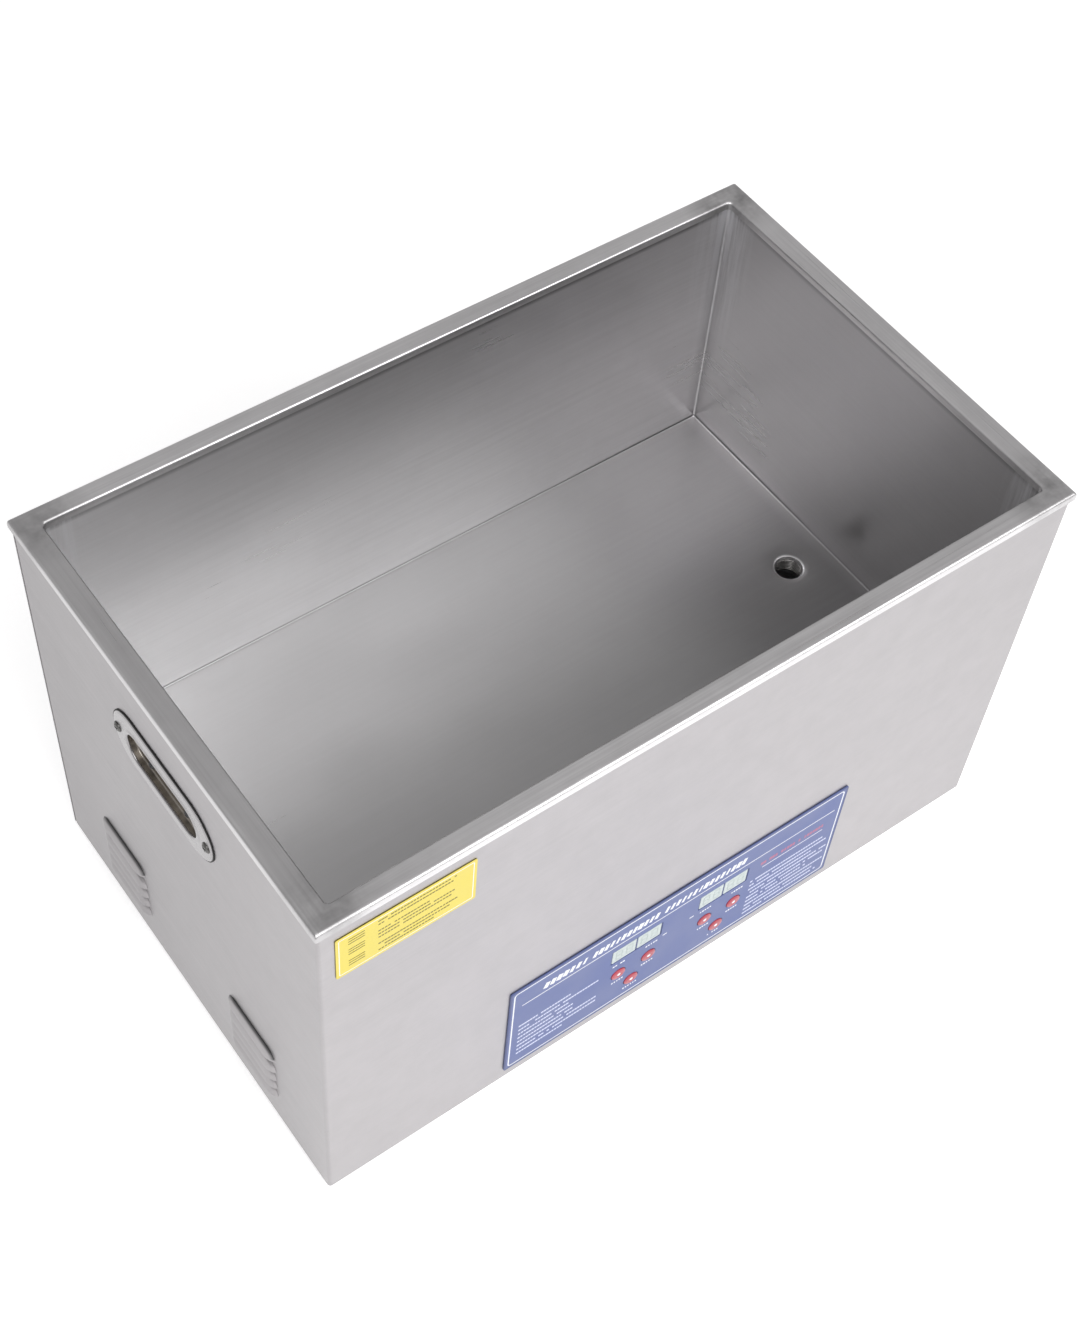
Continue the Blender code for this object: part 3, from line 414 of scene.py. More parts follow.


# %% Mark the case, the rim and the tank, with their painted light and shade
def case_painted_shade(tree, normal, place, colour, dark):
    """Painted shade: the end walls darken towards the back, and each first louvre's slope near the wall is painted
    near black, a painted shadow line.
    """
    # Painted shade on the end walls, darker towards the back.
    backwards = between(tree, axis(tree, place, 1), 0.20, 0.42, -0.16, 0.16)
    end_wall_shade = product(tree, size_of(tree, axis(tree, normal, 0)), backwards)
    colour = blend_colours(tree, end_wall_shade, colour, scaled(dark, 0.45))
    proud, height = past_wall(tree, place), axis(tree, place, 2)
    # Painted shadow line on the top louvre's upper slope.
    first = between(tree, proud, 1.0, 0.0, 0.4 * MM, 2.4 * MM)
    top = between(tree, height, 0.0, 1.0, LOUVRE_TOP, LOUVRE_TOP + 1 * MM)
    under = between(tree, height, 1.0, 0.0, LOUVRE_TOP + 12 * MM, LOUVRE_TOP + 13 * MM)
    shade = product(tree, first, top, under, combine(tree, "GREATER_THAN", proud, 0.15 * MM))
    return blend_colours(tree, shade, colour, grey(0.05))


def rim_smudges_and_shade(tree, place, colour, sheen, dark, fleck):
    """The ground welds leave a dull smudge at each corner, and the left strip is painted darker towards its outer
    edge, a painted shade.
    """
    smudge = product(tree, near_corner(tree, place, 34 * MM, 8 * MM), between(tree, fleck, 0.1, 1.0))
    colour = blend_colours(tree, smudge, colour, scaled(dark, 0.50))
    # Painted shade: the rim's left strip darkens towards its outer edge.
    left_edge_shade = between(tree, axis(tree, place, 0), 0.35, 0.0, -280 * MM, -262 * MM)
    colour = blend_colours(tree, left_edge_shade, colour, scaled(dark, 0.60))
    return colour, add_up(tree, sheen, product(tree, smudge, 0.10))


def tank_shade_light_and_streaks(tree, place, colour, sheen):
    """Painted shade under the rim and on the floor, painted light that makes the metal lighter on the left, painted
    shade on the right end wall, and streaks by the corners.
    """
    height, along = axis(tree, place, 2), axis(tree, place, 0)
    # Painted shadow under the rim's inner lip.
    edge = between(tree, height, 0.0, 0.72, RIM_TOP - 10 * MM, RIM_TOP - 7 * MM)
    colour = blend_colours(tree, edge, colour, grey(0.10))
    # Painted shade along the floor.
    above = between(tree, height, 0.0, 1.0, TANK_FLOOR + 0.2 * MM, TANK_FLOOR + 0.7 * MM)
    below = between(tree, height, 1.0, 0.0, TANK_FLOOR + 1.8 * MM, TANK_FLOOR + 3.6 * MM)
    colour = blend_colours(tree, product(tree, above, below, 0.70), colour, grey(0.12))
    # Painted light: the metal is lighter towards the left.
    left = between(tree, along, 0.30, 0.0, -250 * MM, 220 * MM)
    colour = blend_colours(tree, left, colour, (0.97, 0.965, 0.97, 1))
    # Painted shade on the right end wall.
    right_wall_shade = between(tree, along, 0.0, 0.60, CENTRE + 240 * MM, CENTRE + 248 * MM)
    colour = blend_colours(tree, right_wall_shade, colour, (0.40, 0.39, 0.40, 1))
    high = between(tree, height, 0.0, 1.0, 200 * MM, RIM_TOP - 14 * MM)
    streaks = between(tree, noise(tree, place, (240, 240, 14), 4.0, 0.65), 0.0, 0.75, 0.38, 0.62)
    stain = product(tree, near_corner(tree, place, 30 * MM, 2 * MM), high, streaks)
    colour = blend_colours(tree, stain, colour, (0.98, 0.98, 1.0, 1))
    return colour, add_up(tree, sheen, product(tree, stain, 0.25))


# %% Brush the metals
GRAIN = 9


def brushed_steel(name, dark, light, roughness, spread=0.07, wave=0.25, streak=1100, groove=0.012, marks=None):
    """Steel with a grain along X, or along each strip of the rim; wave and groove depths are in millimetres."""
    finish, shader = new_finish(name, roughness, metallic=1.0)
    tree = finish.node_tree
    coordinates = add_node(tree, "ShaderNodeTexCoord").outputs
    place, normal = coordinates["Object"], coordinates["Normal"]
    upright = noise(tree, place, (GRAIN, GRAIN, streak), 4.0, 0.6)
    level = noise(tree, place, (GRAIN, streak, GRAIN), 4.0, 0.6)
    if marks == "rim":
        end_strip = combine(tree, "GREATER_THAN", *past_opening(tree, place))
        level = blend_values(tree, end_strip, level, noise(tree, place, (streak, GRAIN, GRAIN), 4.0, 0.6))
    is_level = combine(tree, "GREATER_THAN", size_of(tree, axis(tree, normal, 2)), 0.7)
    grain = blend_values(tree, is_level, upright, level)
    cloud = noise(tree, place, (5, 5, 5), 2.0)
    fleck = noise(tree, place, (60, 60, 60), 3.0, 0.6)
    tone = add_up(tree, between(tree, grain, 0.0, 0.42), between(tree, cloud, 0.0, 0.40))
    tone = add_up(tree, tone, between(tree, fleck, 0.0, 0.18))
    colour = blend_colours(tree, tone, (*dark, 1), (*light, 1))
    sheen = add_up(tree, between(tree, grain, -spread, spread), between(tree, cloud, -0.05, 0.05))
    # The case, rim and tank add painted shade and light to the colour, besides the rim's smudges and the tank's
    # streaks.
    if marks == "case":
        colour = case_painted_shade(tree, normal, place, colour, dark)
    elif marks == "rim":
        colour, sheen = rim_smudges_and_shade(tree, place, colour, sheen, dark, fleck)
    elif marks == "tank":
        colour, sheen = tank_shade_light_and_streaks(tree, place, colour, sheen)
    tree.links.new(colour, shader.inputs["Base Color"])
    tree.links.new(add_up(tree, sheen, roughness), shader.inputs["Roughness"])
    slow = noise(tree, place, (7, 7, 7), 1.0)
    bumps(tree, shader, [(slow, wave * 8 * MM), (grain, groove * MM)])
    return finish


CASE_STEEL = brushed_steel("brushed_case_steel", (0.375, 0.36, 0.367), (0.51, 0.493, 0.502), 0.40, marks="case")
RIM_STEEL = brushed_steel(
    "brushed_rim_steel", (0.60, 0.59, 0.595), (0.86, 0.85, 0.855), 0.36, streak=700, marks="rim")
TANK_STEEL = brushed_steel(
    "satin_tank_steel", (0.67, 0.66, 0.665), (0.80, 0.79, 0.80), 0.33, 0.02, streak=350, groove=0.0005, marks="tank")
HANDLE_STEEL = brushed_steel("stamped_handle_steel", (0.27, 0.26, 0.265), (0.40, 0.39, 0.395), 0.24, 0.04, 0.02)
SCREW_STEEL = brushed_steel("dark_screw_steel", (0.09, 0.088, 0.086), (0.17, 0.165, 0.16), 0.28, 0.03, 0.0)
BRIGHT_STEEL = brushed_steel("polished_steel", (0.58, 0.57, 0.57), (0.72, 0.71, 0.71), 0.20, 0.03, 0.02)
WELD_STEEL = brushed_steel("ground_weld_steel", (0.88, 0.87, 0.87), (0.97, 0.96, 0.96), 0.26, 0.03)
CUP_STEEL = brushed_steel("shaded_cup_steel", (0.18, 0.165, 0.145), (0.50, 0.46, 0.41), 0.34, streak=300)

# %% [markdown]
# ## Plastics, print and rubber
# Moulded plastic has a fine spark texture and slightly uneven gloss. Printed film is smoother, and ink sits on it
# as a very thin, flat layer. `moulded` makes all of these from one recipe with different depths.


# %% Mix the plastics, films and inks
def moulded(name, colour, roughness, grain=1500, depth=0.01, vary=0.10, metallic=0.0, coat=0.0):
    """Plastic, film, ink or cast metal with a fine grain; its depth is in millimetres."""
    finish, shader = new_finish(name, roughness, metallic)
    tree = finish.node_tree
    shader.inputs["Coat Weight"].default_value = coat
    place = add_node(tree, "ShaderNodeTexCoord").outputs["Object"]
    fine = noise(tree, place, (grain, grain, grain), 2.0)
    cloud = noise(tree, place, (35, 35, 35), 3.0)
    tone = add_up(tree, between(tree, fine, 0.0, 0.35), between(tree, cloud, 0.0, 0.65))
    darker = tuple(value * (1 - vary) for value in colour)
    lighter = tuple(min(1.0, value * (1 + vary)) for value in colour)
    tree.links.new(blend_colours(tree, tone, (*darker, 1), (*lighter, 1)), shader.inputs["Base Color"])
    uneven = between(tree, cloud, roughness - 0.06, roughness + 0.06)
    tree.links.new(uneven, shader.inputs["Roughness"])
    bumps(tree, shader, [(fine, depth * MM)])
    return finish


PANEL_FILM = moulded("panel_blue_film", (0.096, 0.128, 0.30), 0.45, vary=0.05, depth=0.004)
PANEL_EDGE = moulded("panel_border_ink", (0.05, 0.068, 0.19), 0.45, vary=0.06)
WHITE_INK = moulded("white_ink", (0.80, 0.81, 0.84), 0.5, vary=0.03)
PALE_INK = moulded("pale_blue_ink", (0.62, 0.65, 0.80), 0.5, vary=0.05)
RED_INK = moulded("red_ink", (0.42, 0.13, 0.22), 0.5, vary=0.06)
OLIVE_INK = moulded("olive_ink", (0.16, 0.13, 0.015), 0.5)
YELLOW_FILM = moulded("yellow_label_film", (0.68, 0.56, 0.075), 0.40, vary=0.04, depth=0.004)
LENS = moulded("display_window", (0.42, 0.49, 0.47), 0.16, vary=0.04, coat=0.5, depth=0.001)
GHOST = moulded("display_segments", (0.27, 0.33, 0.315), 0.3, vary=0.03)
BUTTON_RED = moulded("button_red", (0.40, 0.022, 0.045), 0.33, vary=0.12, coat=0.3)
BLACK_PLASTIC = moulded("black_plastic", (0.022, 0.022, 0.024), 0.42, vary=0.25)
RUBBER = moulded("foot_rubber", (0.018, 0.018, 0.018), 0.75, 900, 0.03, 0.3)
RED_GRIP = moulded("dipped_grip", (0.40, 0.02, 0.025), 0.38, 500, 0.02, coat=0.25)
NICKEL = moulded("nickelled_brass", (0.60, 0.575, 0.53), 0.27, 700, 0.006, metallic=1.0)
ALUMINIUM = moulded("turned_aluminium", (0.66, 0.67, 0.68), 0.36, 1200, vary=0.08, metallic=1.0)
ZINC = moulded("zinc_plated_steel", (0.52, 0.52, 0.50), 0.34, 300, vary=0.14, metallic=1.0)
CERAMIC = moulded("piezo_ceramic", (0.62, 0.61, 0.56), 0.55, vary=0.05)
BOARD_GREEN = moulded("circuit_board", (0.02, 0.14, 0.05), 0.35, 260, vary=0.35, coat=0.3)
PAD_SILICONE = moulded("heating_pad", (0.60, 0.22, 0.07), 0.6, 420, vary=0.16)
SEAT_WHITE = moulded("valve_seat_plastic", (0.82, 0.82, 0.80), 0.45, vary=0.03)
COPPER = moulded("copper_winding", (0.62, 0.27, 0.11), 0.32, 1600, 0.03, 0.2, metallic=1.0)

# %% [markdown]
# ## The case
# One sheet is folded round the front and both ends, so its upright corners are small bends, not sharp edges.
# It is drawn as an open path in plan, lifted to its height, given its thickness and then punched: for the
# handles, the drain pipe, the buttons, the displays and the mouths of the louvres.

# %% Fold and punch the case sheet
BEND, REAR_BEND, REAR_FLANGE = 2.4 * MM, 1.2 * MM, 12 * MM
PUNCH = (-4 * MM, 4 * MM)
LOUVRE_ROWS = [CASE_LOW + lip * MM for lip in (77, 62, 51, 40, 29)]
LOUVRE_PLACES = (-76.5 * MM, 76.5 * MM)
BUTTONS = {"start": (12 * MM, 48 * MM), "up": (-12 * MM, 48 * MM), "down": (0.0, 29.5 * MM)}
GROUPS = {"timer": -34.5 * MM, "heat": 35.5 * MM}
WINDOW_HEIGHT = 74.5 * MM


def case_path():
    """The folded sheet's outside in plan: rear left, front left, front right, rear right."""
    rear = FRONT - 1.4 * MM
    plan = [(-SIDE + REAR_FLANGE, rear, 0), (-SIDE, rear, REAR_BEND), (-SIDE, -FRONT, BEND)]
    plan += [(SIDE, -FRONT, BEND), (SIDE, rear, REAR_BEND), (SIDE - REAR_FLANGE, rear, 0)]
    return fillet(plan, steps=6)


def punched_openings():
    """Both ends' cups and louvre mouths, the pipe's hole, and the displays' and the keys' holes."""
    bm = bmesh.new()
    for side in (-1, 1):
        wall = CENTRE + side * SIDE
        cup = solid([ring(39 * MM, 13.6 * MM, 13.6 * MM, depth) for depth in PUNCH])
        merge(bm, cup, facing((side, 0, 0), (wall, 0, HANDLE_HEIGHT)))
        for row in LOUVRE_ROWS:
            low, high = row - (7 * MM if row == LOUVRE_ROWS[0] else 0), row + 4.4 * MM
            for along in LOUVRE_PLACES:
                add_box(bm, (6 * MM, 44 * MM, high - low), (wall, along, (high + low) / 2))
    pipe = solid([circle(12.6 * MM, depth) for depth in PUNCH])
    merge(bm, pipe, facing((1, 0, 0), (CENTRE + SIDE, 0, PIPE_HEIGHT)))
    for group in GROUPS.values():
        add_box(bm, (41 * MM, 8 * MM, 16.5 * MM), (CENTRE + group, -FRONT, CASE_LOW + WINDOW_HEIGHT))
        for across, up in BUTTONS.values():
            hole = solid([circle(6.2 * MM, depth, 24) for depth in PUNCH])
            merge(bm, hole, facing((0, -1, 0), (CENTRE + group + across, -FRONT, CASE_LOW + up)))
    return cutter_from(bm)


def merge(bm, other, matrix=Matrix()):
    """Adds another shape, moved by a matrix, and frees it."""
    mesh = bpy.data.meshes.new("merged")
    bmesh.ops.transform(other, matrix=matrix, verts=other.verts)
    bmesh.ops.remove_doubles(other, verts=other.verts, dist=1e-6)
    bmesh.ops.recalc_face_normals(other, faces=other.faces)
    other.to_mesh(mesh)
    other.free()
    bm.from_mesh(mesh)
    bpy.data.meshes.remove(mesh)


bm = bmesh.new()
path = case_path()
rows = [[bm.verts.new((CENTRE + x, y, height)) for x, y in path] for height in (CASE_LOW, CASE_TOP)]
for index in range(len(path) - 1):
    bm.faces.new((rows[0][index], rows[0][index + 1], rows[1][index + 1], rows[1][index]))
openings = punched_openings()
piece("case_sheet", bm, CASE_STEEL, ["outer_shell"], wall=SHEET, cutter=openings)
bpy.data.objects.remove(openings)

# %% [markdown]
# ## The rim
# The rim is a frame of folded strip with mitred, welded corners. Its section is a short lip outside the case, a
# flat top and a lip that hangs inside the tank. Lofting that section round a rectangle gives true mitres, which a
# swept curve would pinch.

# %% Fold the rim frame
OUTER = (rim_high.x - CENTRE, rim_high.y)


def rim_rings():
    width = OUTER[0] - OPENING[0]
    section = [(0, RIM_TOP - LIP, 0.35 * MM), (0, RIM_TOP, 2.8 * MM), (width, RIM_TOP, 2.0 * MM)]
    section += [(width, RIM_TOP - LIP, 0.35 * MM), (width - RIM_SHEET, RIM_TOP - LIP, 0.35 * MM)]
    section += [(width - RIM_SHEET, RIM_TOP - RIM_SHEET, 0.8 * MM), (RIM_SHEET, RIM_TOP - RIM_SHEET, 1.6 * MM)]
    section += [(RIM_SHEET, RIM_TOP - LIP, 0.35 * MM)]
    rings = []
    for inwards, height in fillet(section, steps=5, closed=True):
        share = inwards / width
        half_y = OUTER[1] - (OUTER[1] - OPENING[1]) * share
        radius = (1.2 + 2.0 * share) * MM
        rings.append(ring(OUTER[0] - inwards, half_y, radius, height, (CENTRE, 0), steps=5))
    return rings


piece("rim", hollow(rim_rings()), RIM_STEEL, ["rim_frame"])

# %% [markdown]
# ## The tank
# The tank is welded from bent sheet: small radii at its edges, a floor that dips a little round the drain, and
# a wall that starts just behind the rim's inner lip. The floor is lofted from the rectangle of the walls to the
# circle of the drain hole, so the dip is part of one skin.

# %% Form the tank
DRAIN_DIP = ((22, 0), (17.2, 0.02), (16.2, 0.25), (15.2, 0.12), (12.2, 0.3), (10.9, 0.8), (10.3, 2.4))


def tank_rings():
    half_x, half_y = TANK_HALF
    wall = [(0, tank_high.z, 0), (0, TANK_FLOOR, 2.6 * MM), (8 * MM, TANK_FLOOR, 0)]
    rings = []
    for inset, height in fillet(wall, steps=7):
        radius = max(3 * MM - inset * 0.6, 1 * MM)
        rings.append(ring(half_x - inset, half_y - inset, radius, height, (CENTRE, 0), 12))
    for radius, dip in DRAIN_DIP:
        size = radius * MM
        rings.append(ring(size, size, size, TANK_FLOOR - dip * MM, (CENTRE + DRAIN_X, 0), 12))
    return rings


piece("tank_shell", loft(bmesh.new(), tank_rings()), TANK_STEEL, ["tank"], wall=RIM_SHEET)

# %% [markdown]
# ## Node trees for what repeats
# Louvres, screws, transducers, printed dashes and weld beads repeat a simple shape along marks or lines. Each
# tree below takes its sizes as named inputs, makes instances, turns them into real geometry and paints them.
# `grow` runs a tree on a small mesh of marks and keeps only the plain result.


# %% Build and run geometry node trees
def new_tree(name, inputs):
    """A tree whose inputs are {label: (socket type, default)}."""
    tree = bpy.data.node_groups.new(name, "GeometryNodeTree")
    tree.interface.new_socket("Geometry", in_out="INPUT", socket_type="NodeSocketGeometry")
    for label, (kind, default) in inputs.items():
        socket = tree.interface.new_socket(label, in_out="INPUT", socket_type="NodeSocket" + kind)
        if default is not None:
            socket.default_value = default
    tree.interface.new_socket("Geometry", in_out="OUTPUT", socket_type="NodeSocketGeometry")
    return tree, add_node(tree, "NodeGroupInput"), add_node(tree, "NodeGroupOutput")


def close_tree(tree, given, result, geometry):
    """Ends a tree: real geometry, one finish."""
    real = add_node(tree, "GeometryNodeRealizeInstances", {0: geometry}).outputs[0]
    painted = add_node(tree, "GeometryNodeSetMaterial", {0: real, "Material": given.outputs["Finish"]}).outputs[0]
    tree.links.new(painted, result.inputs[0])
    return tree


def grow(name, marks, tree, finish, slot, stands_for=(), body="case", **inputs):
    modifier = marks.modifiers.new(tree.name, "NODES")
    modifier.node_group = tree
    inputs["Finish"] = finish
    for item in tree.interface.items_tree:
        if item.in_out == "INPUT" and item.name in inputs:
            modifier[item.identifier] = inputs[item.name]
    marks.name = name
    settle(marks, None, stands_for, body)


def marks_at(places):
    """Points with the direction that a copy faces and the direction that it holds up."""
    mesh = bpy.data.meshes.new("marks")
    mesh.from_pydata([place for place, aim, up in places], [], [])
    for label, column in (("aim", 1), ("up", 2)):
        attribute = mesh.attributes.new(label, "FLOAT_VECTOR", "POINT")
        attribute.data.foreach_set("vector", [value for mark in places for value in mark[column]])
    return new_object("marks", mesh)


def lines_between(pairs):
    """Straight lines for a tree to follow, each a (start, end) pair."""
    mesh = bpy.data.meshes.new("lines")
    points = [point for pair in pairs for point in pair]
    mesh.from_pydata(points, [(index, index + 1) for index in range(0, len(points), 2)], [])
    return new_object("lines", mesh)


# %% A tree that copies a shape onto marks
def copies_tree():
    tree, given, result = new_tree("copies on marks", {"Shape": ("Object", None), "Finish": ("Material", None)})
    shape = add_node(tree, "GeometryNodeObjectInfo", {"Object": given.outputs["Shape"]}).outputs["Geometry"]
    inputs = {}
    for label, along, pivot in (("aim", "Z", "AUTO"), ("up", "Y", "Z")):
        stored = add_node(tree, "GeometryNodeInputNamedAttribute", {"Name": label}, data_type="FLOAT_VECTOR")
        inputs["Vector"] = stored.outputs[0]
        turn = add_node(tree, "FunctionNodeAlignRotationToVector", inputs, axis=along, pivot_axis=pivot)
        inputs["Rotation"] = turn.outputs[0]
    inputs = {"Points": given.outputs[0], "Instance": shape, "Rotation": inputs["Rotation"]}
    return close_tree(tree, given, result, add_node(tree, "GeometryNodeInstanceOnPoints", inputs).outputs[0])


COPIES = copies_tree()


def template(bm, cutter=None):
    """A shape for the copying tree, drawn round the origin with Z facing out."""
    obj = object_from("template", clean(bm))
    if cutter is not None:
        cut_with(obj, cutter)
    return obj


def drop_template(shape):
    """Removes a template and the shape that cut it."""
    for modifier in list(shape.modifiers):
        if modifier.type == "BOOLEAN":
            bpy.data.objects.remove(modifier.object)
    bpy.data.objects.remove(shape)


def copy_onto(name, places, shape, finish, slot, stands_for=(), last=False):
    """Sets copies of a template onto (place, aim, up) marks; the last user of a template drops it."""
    grow(name, marks_at(places), COPIES, finish, slot, stands_for, Shape=shape)
    if last:
        drop_template(shape)


# %% [markdown]
# ## Louvres
# A louvre is lanced and pressed out of the sheet: closed and rounded at its top and ends, open downwards so that
# splashes stay out. One hood is drawn by sweeping a soft cosine bulge round a stadium's upper half, and the
# copying tree sets twenty of them over the mouths that were punched in the case.


# %% Press the louvres
LOUVRE_HALF, LOUVRE_DROP, LOUVRE_PROUD = 18 * MM, 7.4 * MM, 3.6 * MM
LOUVRE_STEPS = 8


def louvre_hood():
    bm = bmesh.new()
    reach = LOUVRE_DROP * 1.12
    ends = [(-LOUVRE_HALF, 180 - 10 * step) for step in range(10)]
    ends += [(LOUVRE_HALF, 90 - 10 * step) for step in range(10)]
    rows = []
    for x, degrees in ends:
        out_x, out_y = math.cos(math.radians(degrees)), math.sin(math.radians(degrees))
        row = []
        for step in range(LOUVRE_STEPS + 1):
            share = 1 - step / LOUVRE_STEPS
            bulge = math.sin(math.pi / 2 * (1 - share)) ** 0.62
            height = 0.05 * MM + LOUVRE_PROUD * bulge
            row.append(bm.verts.new((x + share * reach * out_x, share * reach * out_y, height)))
        rows.append(row)
    for first, second in zip(rows, rows[1:]):
        for index in range(LOUVRE_STEPS):
            bm.faces.new((first[index], first[index + 1], second[index + 1], second[index]))
    return template(bm)


hood = louvre_hood()
thicken(hood, 0.8 * MM)
for side, name in ((-1, "louvres_left"), (1, "louvres_right")):
    wall_x = CENTRE + side * SIDE
    places = [((wall_x, y, row), (side, 0, 0), (0, 0, 1)) for y in LOUVRE_PLACES for row in LOUVRE_ROWS]
    copy_onto(name, places, hood, CASE_STEEL, "case_steel", last=side == 1)

# %% [markdown]
# ## Handles
# Each end has a flush pull, stamped from sheet. Its bezel is a shallow dome that turns over a rolled lip into a
# finger cup, and a thin black rubber band under its edge is a painted shadow line for the gap there. The section
# is the same all the way round, so it is lofted through stadiums. Two cross-head screws hold the bezel, and two
# dark studs sit in the cup.

# %% Stamp the handles
BEZEL_FRONT = [(12.0, -8.1, 0), (12.0, 1.9, 0.9), (13.6, 2.25, 1.2), (15.0, 1.75, 1.0), (21.4, 1.65, 1.2)]
BEZEL_FRONT += [(22.7, 1.1, 0.4), (22.8, 0.3, 0)]
BEZEL_BACK = [(22.0, 0.25, 0), (12.9, 0.6, 0.3), (12.9, -8.1, 0)]
CUP = [(0.5, -3.2, 0), (11.95, -3.2, 1.2), (11.95, 0.6, 0), (12.85, 0.6, 0), (12.85, -8.9, 1.6), (0.5, -8.9, 0)]
SHADOW_BAND = [(22.4, 0.02), (23.25, 0.02), (23.45, 0.3), (23.45, 0.75), (23.2, 0.95), (22.4, 0.95)]
INNER_STRAIGHT, OUTER_STRAIGHT = 25.5, 31


def stadiums(section, straight, growth=0.0):
    """Stadiums from (radius, height) rows, whose straight part may grow with the radius; all in millimetres."""
    rings = []
    for radius, height in section:
        half = (straight + growth * min(max((radius - 13) / 8, 0), 1)) * MM
        rings.append(ring(half + radius * MM, radius * MM, radius * MM, height * MM, steps=12))
    return rings


for side, name in ((-1, "left"), (1, "right")):
    here = facing((side, 0, 0), (CENTRE + side * SIDE, 0, HANDLE_HEIGHT))
    section = fillet(BEZEL_FRONT, steps=5) + fillet(BEZEL_BACK, steps=3)
    bezel = hollow(stadiums(section, INNER_STRAIGHT, OUTER_STRAIGHT - INNER_STRAIGHT))
    piece(f"handle_bezel_{name}", bezel, HANDLE_STEEL, [f"handle_{name}"], place=here)
    cup = solid(stadiums(fillet(CUP, steps=5), INNER_STRAIGHT))
    piece(f"handle_cup_{name}", cup, CUP_STEEL, place=here)
    # A thin black rubber band round the bezel's edge, a painted shadow line for the gap under it.
    gasket = hollow(stadiums(SHADOW_BAND, OUTER_STRAIGHT))
    piece(f"handle_gasket_{name}", gasket, RUBBER, place=here)


# %% Turn a cross-head screw and fit the handle screws
def cross_screw(radius, height):
    """A pan-head screw with a cross recess, its seat at the origin."""
    section = [(radius, 0, 0), (radius, 0.35 * height, 0.3 * height), (0.62 * radius, height, 0.8 * height)]
    section.append((0, height, 0))
    head = solid([circle(max(r, 0.01 * MM), z, 32) for r, z in fillet(section, steps=4)])
    arm, half = 0.62 * radius, 0.13 * radius
    corners = [(arm, half), (half, half), (half, arm)]
    turns = ((1, 0), (0, 1), (-1, 0), (0, -1))
    outline = [(x * c - y * s, x * s + y * c) for c, s in turns for x, y in corners]
    cross = solid([[(x, y, z) for x, y in outline] for z in (0.45 * height, 2 * height)])
    return template(head, cutter_from(cross))


handle_screw, stud = cross_screw(3.6 * MM, 1.5 * MM), cross_screw(2.6 * MM, 1.6 * MM)
TILT_UP = (0, 0.5, 0.85)
for side, name in ((-1, "left"), (1, "right")):
    x = CENTRE + side * (SIDE + 1.6 * MM)
    places = [((x, y * MM, HANDLE_HEIGHT), (side, 0, 0), TILT_UP) for y in (-48, 48)]
    nodes = [f"handle_{name}_screw_front", f"handle_{name}_screw_rear"]
    copy_onto(f"handle_screws_{name}", places, handle_screw, SCREW_STEEL, "bright_steel", nodes, side == 1)
    x, z = x - side * 4.8 * MM, HANDLE_HEIGHT - 7.5 * MM
    places = [((x, y * MM, z), (side, 0, 0), TILT_UP) for y in (-19.5, 19.5)]
    copy_onto(f"handle_studs_{name}", places, stud, BLACK_PLASTIC, "bright_steel", last=side == 1)

# %% [markdown]
# ## Control panel
# The panel is a printed film on a thin plate: a dark edge, a white border line, a rule under the heading zone,
# two pale numeral windows and six round keys. All wording is left out. Its places hold only slanted ticks and
# plain ruled dashes, which the dash tree scatters along straight lines from a fixed seed.

# %% Cut the panel plate
PANEL = facing((0, -1, 0), (CENTRE, panel_low.y, CASE_LOW))
PANEL_HALF = ((panel_high.x - panel_low.x) / 2, (panel_high.z - panel_low.z) / 2)
PANEL_MIDDLE = (panel_high.z + panel_low.z) / 2 - CASE_LOW
PLATE = panel_high.y - panel_low.y


def rectangle_band(half_x, half_y, radius, width, low, high, centre):
    """A flat band that follows a rounded rectangle."""
    outer, inner = (half_x, half_y, radius), (half_x - width, half_y - width, max(radius - width, 0.2 * MM))
    loops = [(*outer, low), (*outer, high), (*inner, high), (*inner, low)]
    return hollow([ring(x, y, r, z, centre) for x, y, r, z in loops])


def slab(half_x, half_y, radius, low, high, centre=(0, 0), steps=6):
    return solid([ring(half_x, half_y, radius, height, centre, steps) for height in (low, high)])


def panel_holes():
    bm = bmesh.new()
    for group in GROUPS.values():
        merge(bm, slab(20.2 * MM, 8 * MM, 1.2 * MM, -4 * MM, 2 * MM, (group, WINDOW_HEIGHT)), PANEL)
        for across, up in BUTTONS.values():
            hole = solid(turned([(5.9, -4), (5.9, 2)], 40))
            merge(bm, hole, PANEL @ Matrix.Translation((group + across, up, 0)))
    return cutter_from(bm)


holes = panel_holes()
plate = slab(*PANEL_HALF, 1.5 * MM, -PLATE, 0, (0, PANEL_MIDDLE))
piece("panel_plate", plate, PANEL_FILM, ["control_panel"], place=PANEL, cutter=holes)
bpy.data.objects.remove(holes)

# %% Print the panel's borders and rules
INK_LOW, INK_HIGH = -0.02 * MM, 0.05 * MM


def band_piece(name, inset, radius, width, finish):
    half = (PANEL_HALF[0] - inset, PANEL_HALF[1] - inset)
    band = rectangle_band(*half, radius, width, INK_LOW, INK_HIGH, (0, PANEL_MIDDLE))
    piece(name, band, finish, place=PANEL)


band_piece("panel_dark_edge", 0.02 * MM, 1.5 * MM, 1.3 * MM, PANEL_EDGE)
band_piece("panel_white_border", 2.6 * MM, 3.2 * MM, 1.0 * MM, WHITE_INK)


def print_bars(name, bars, finish, place=PANEL):
    """Solid printed lines, each (left, right, height, thickness) in millimetres."""
    bm = bmesh.new()
    for left, right, height, thick in bars:
        size = ((right - left) * MM, thick * MM, INK_HIGH - INK_LOW)
        add_box(bm, size, ((left + right) / 2 * MM, height * MM, (INK_LOW + INK_HIGH) / 2))
    piece(name, bm, finish, place=place)


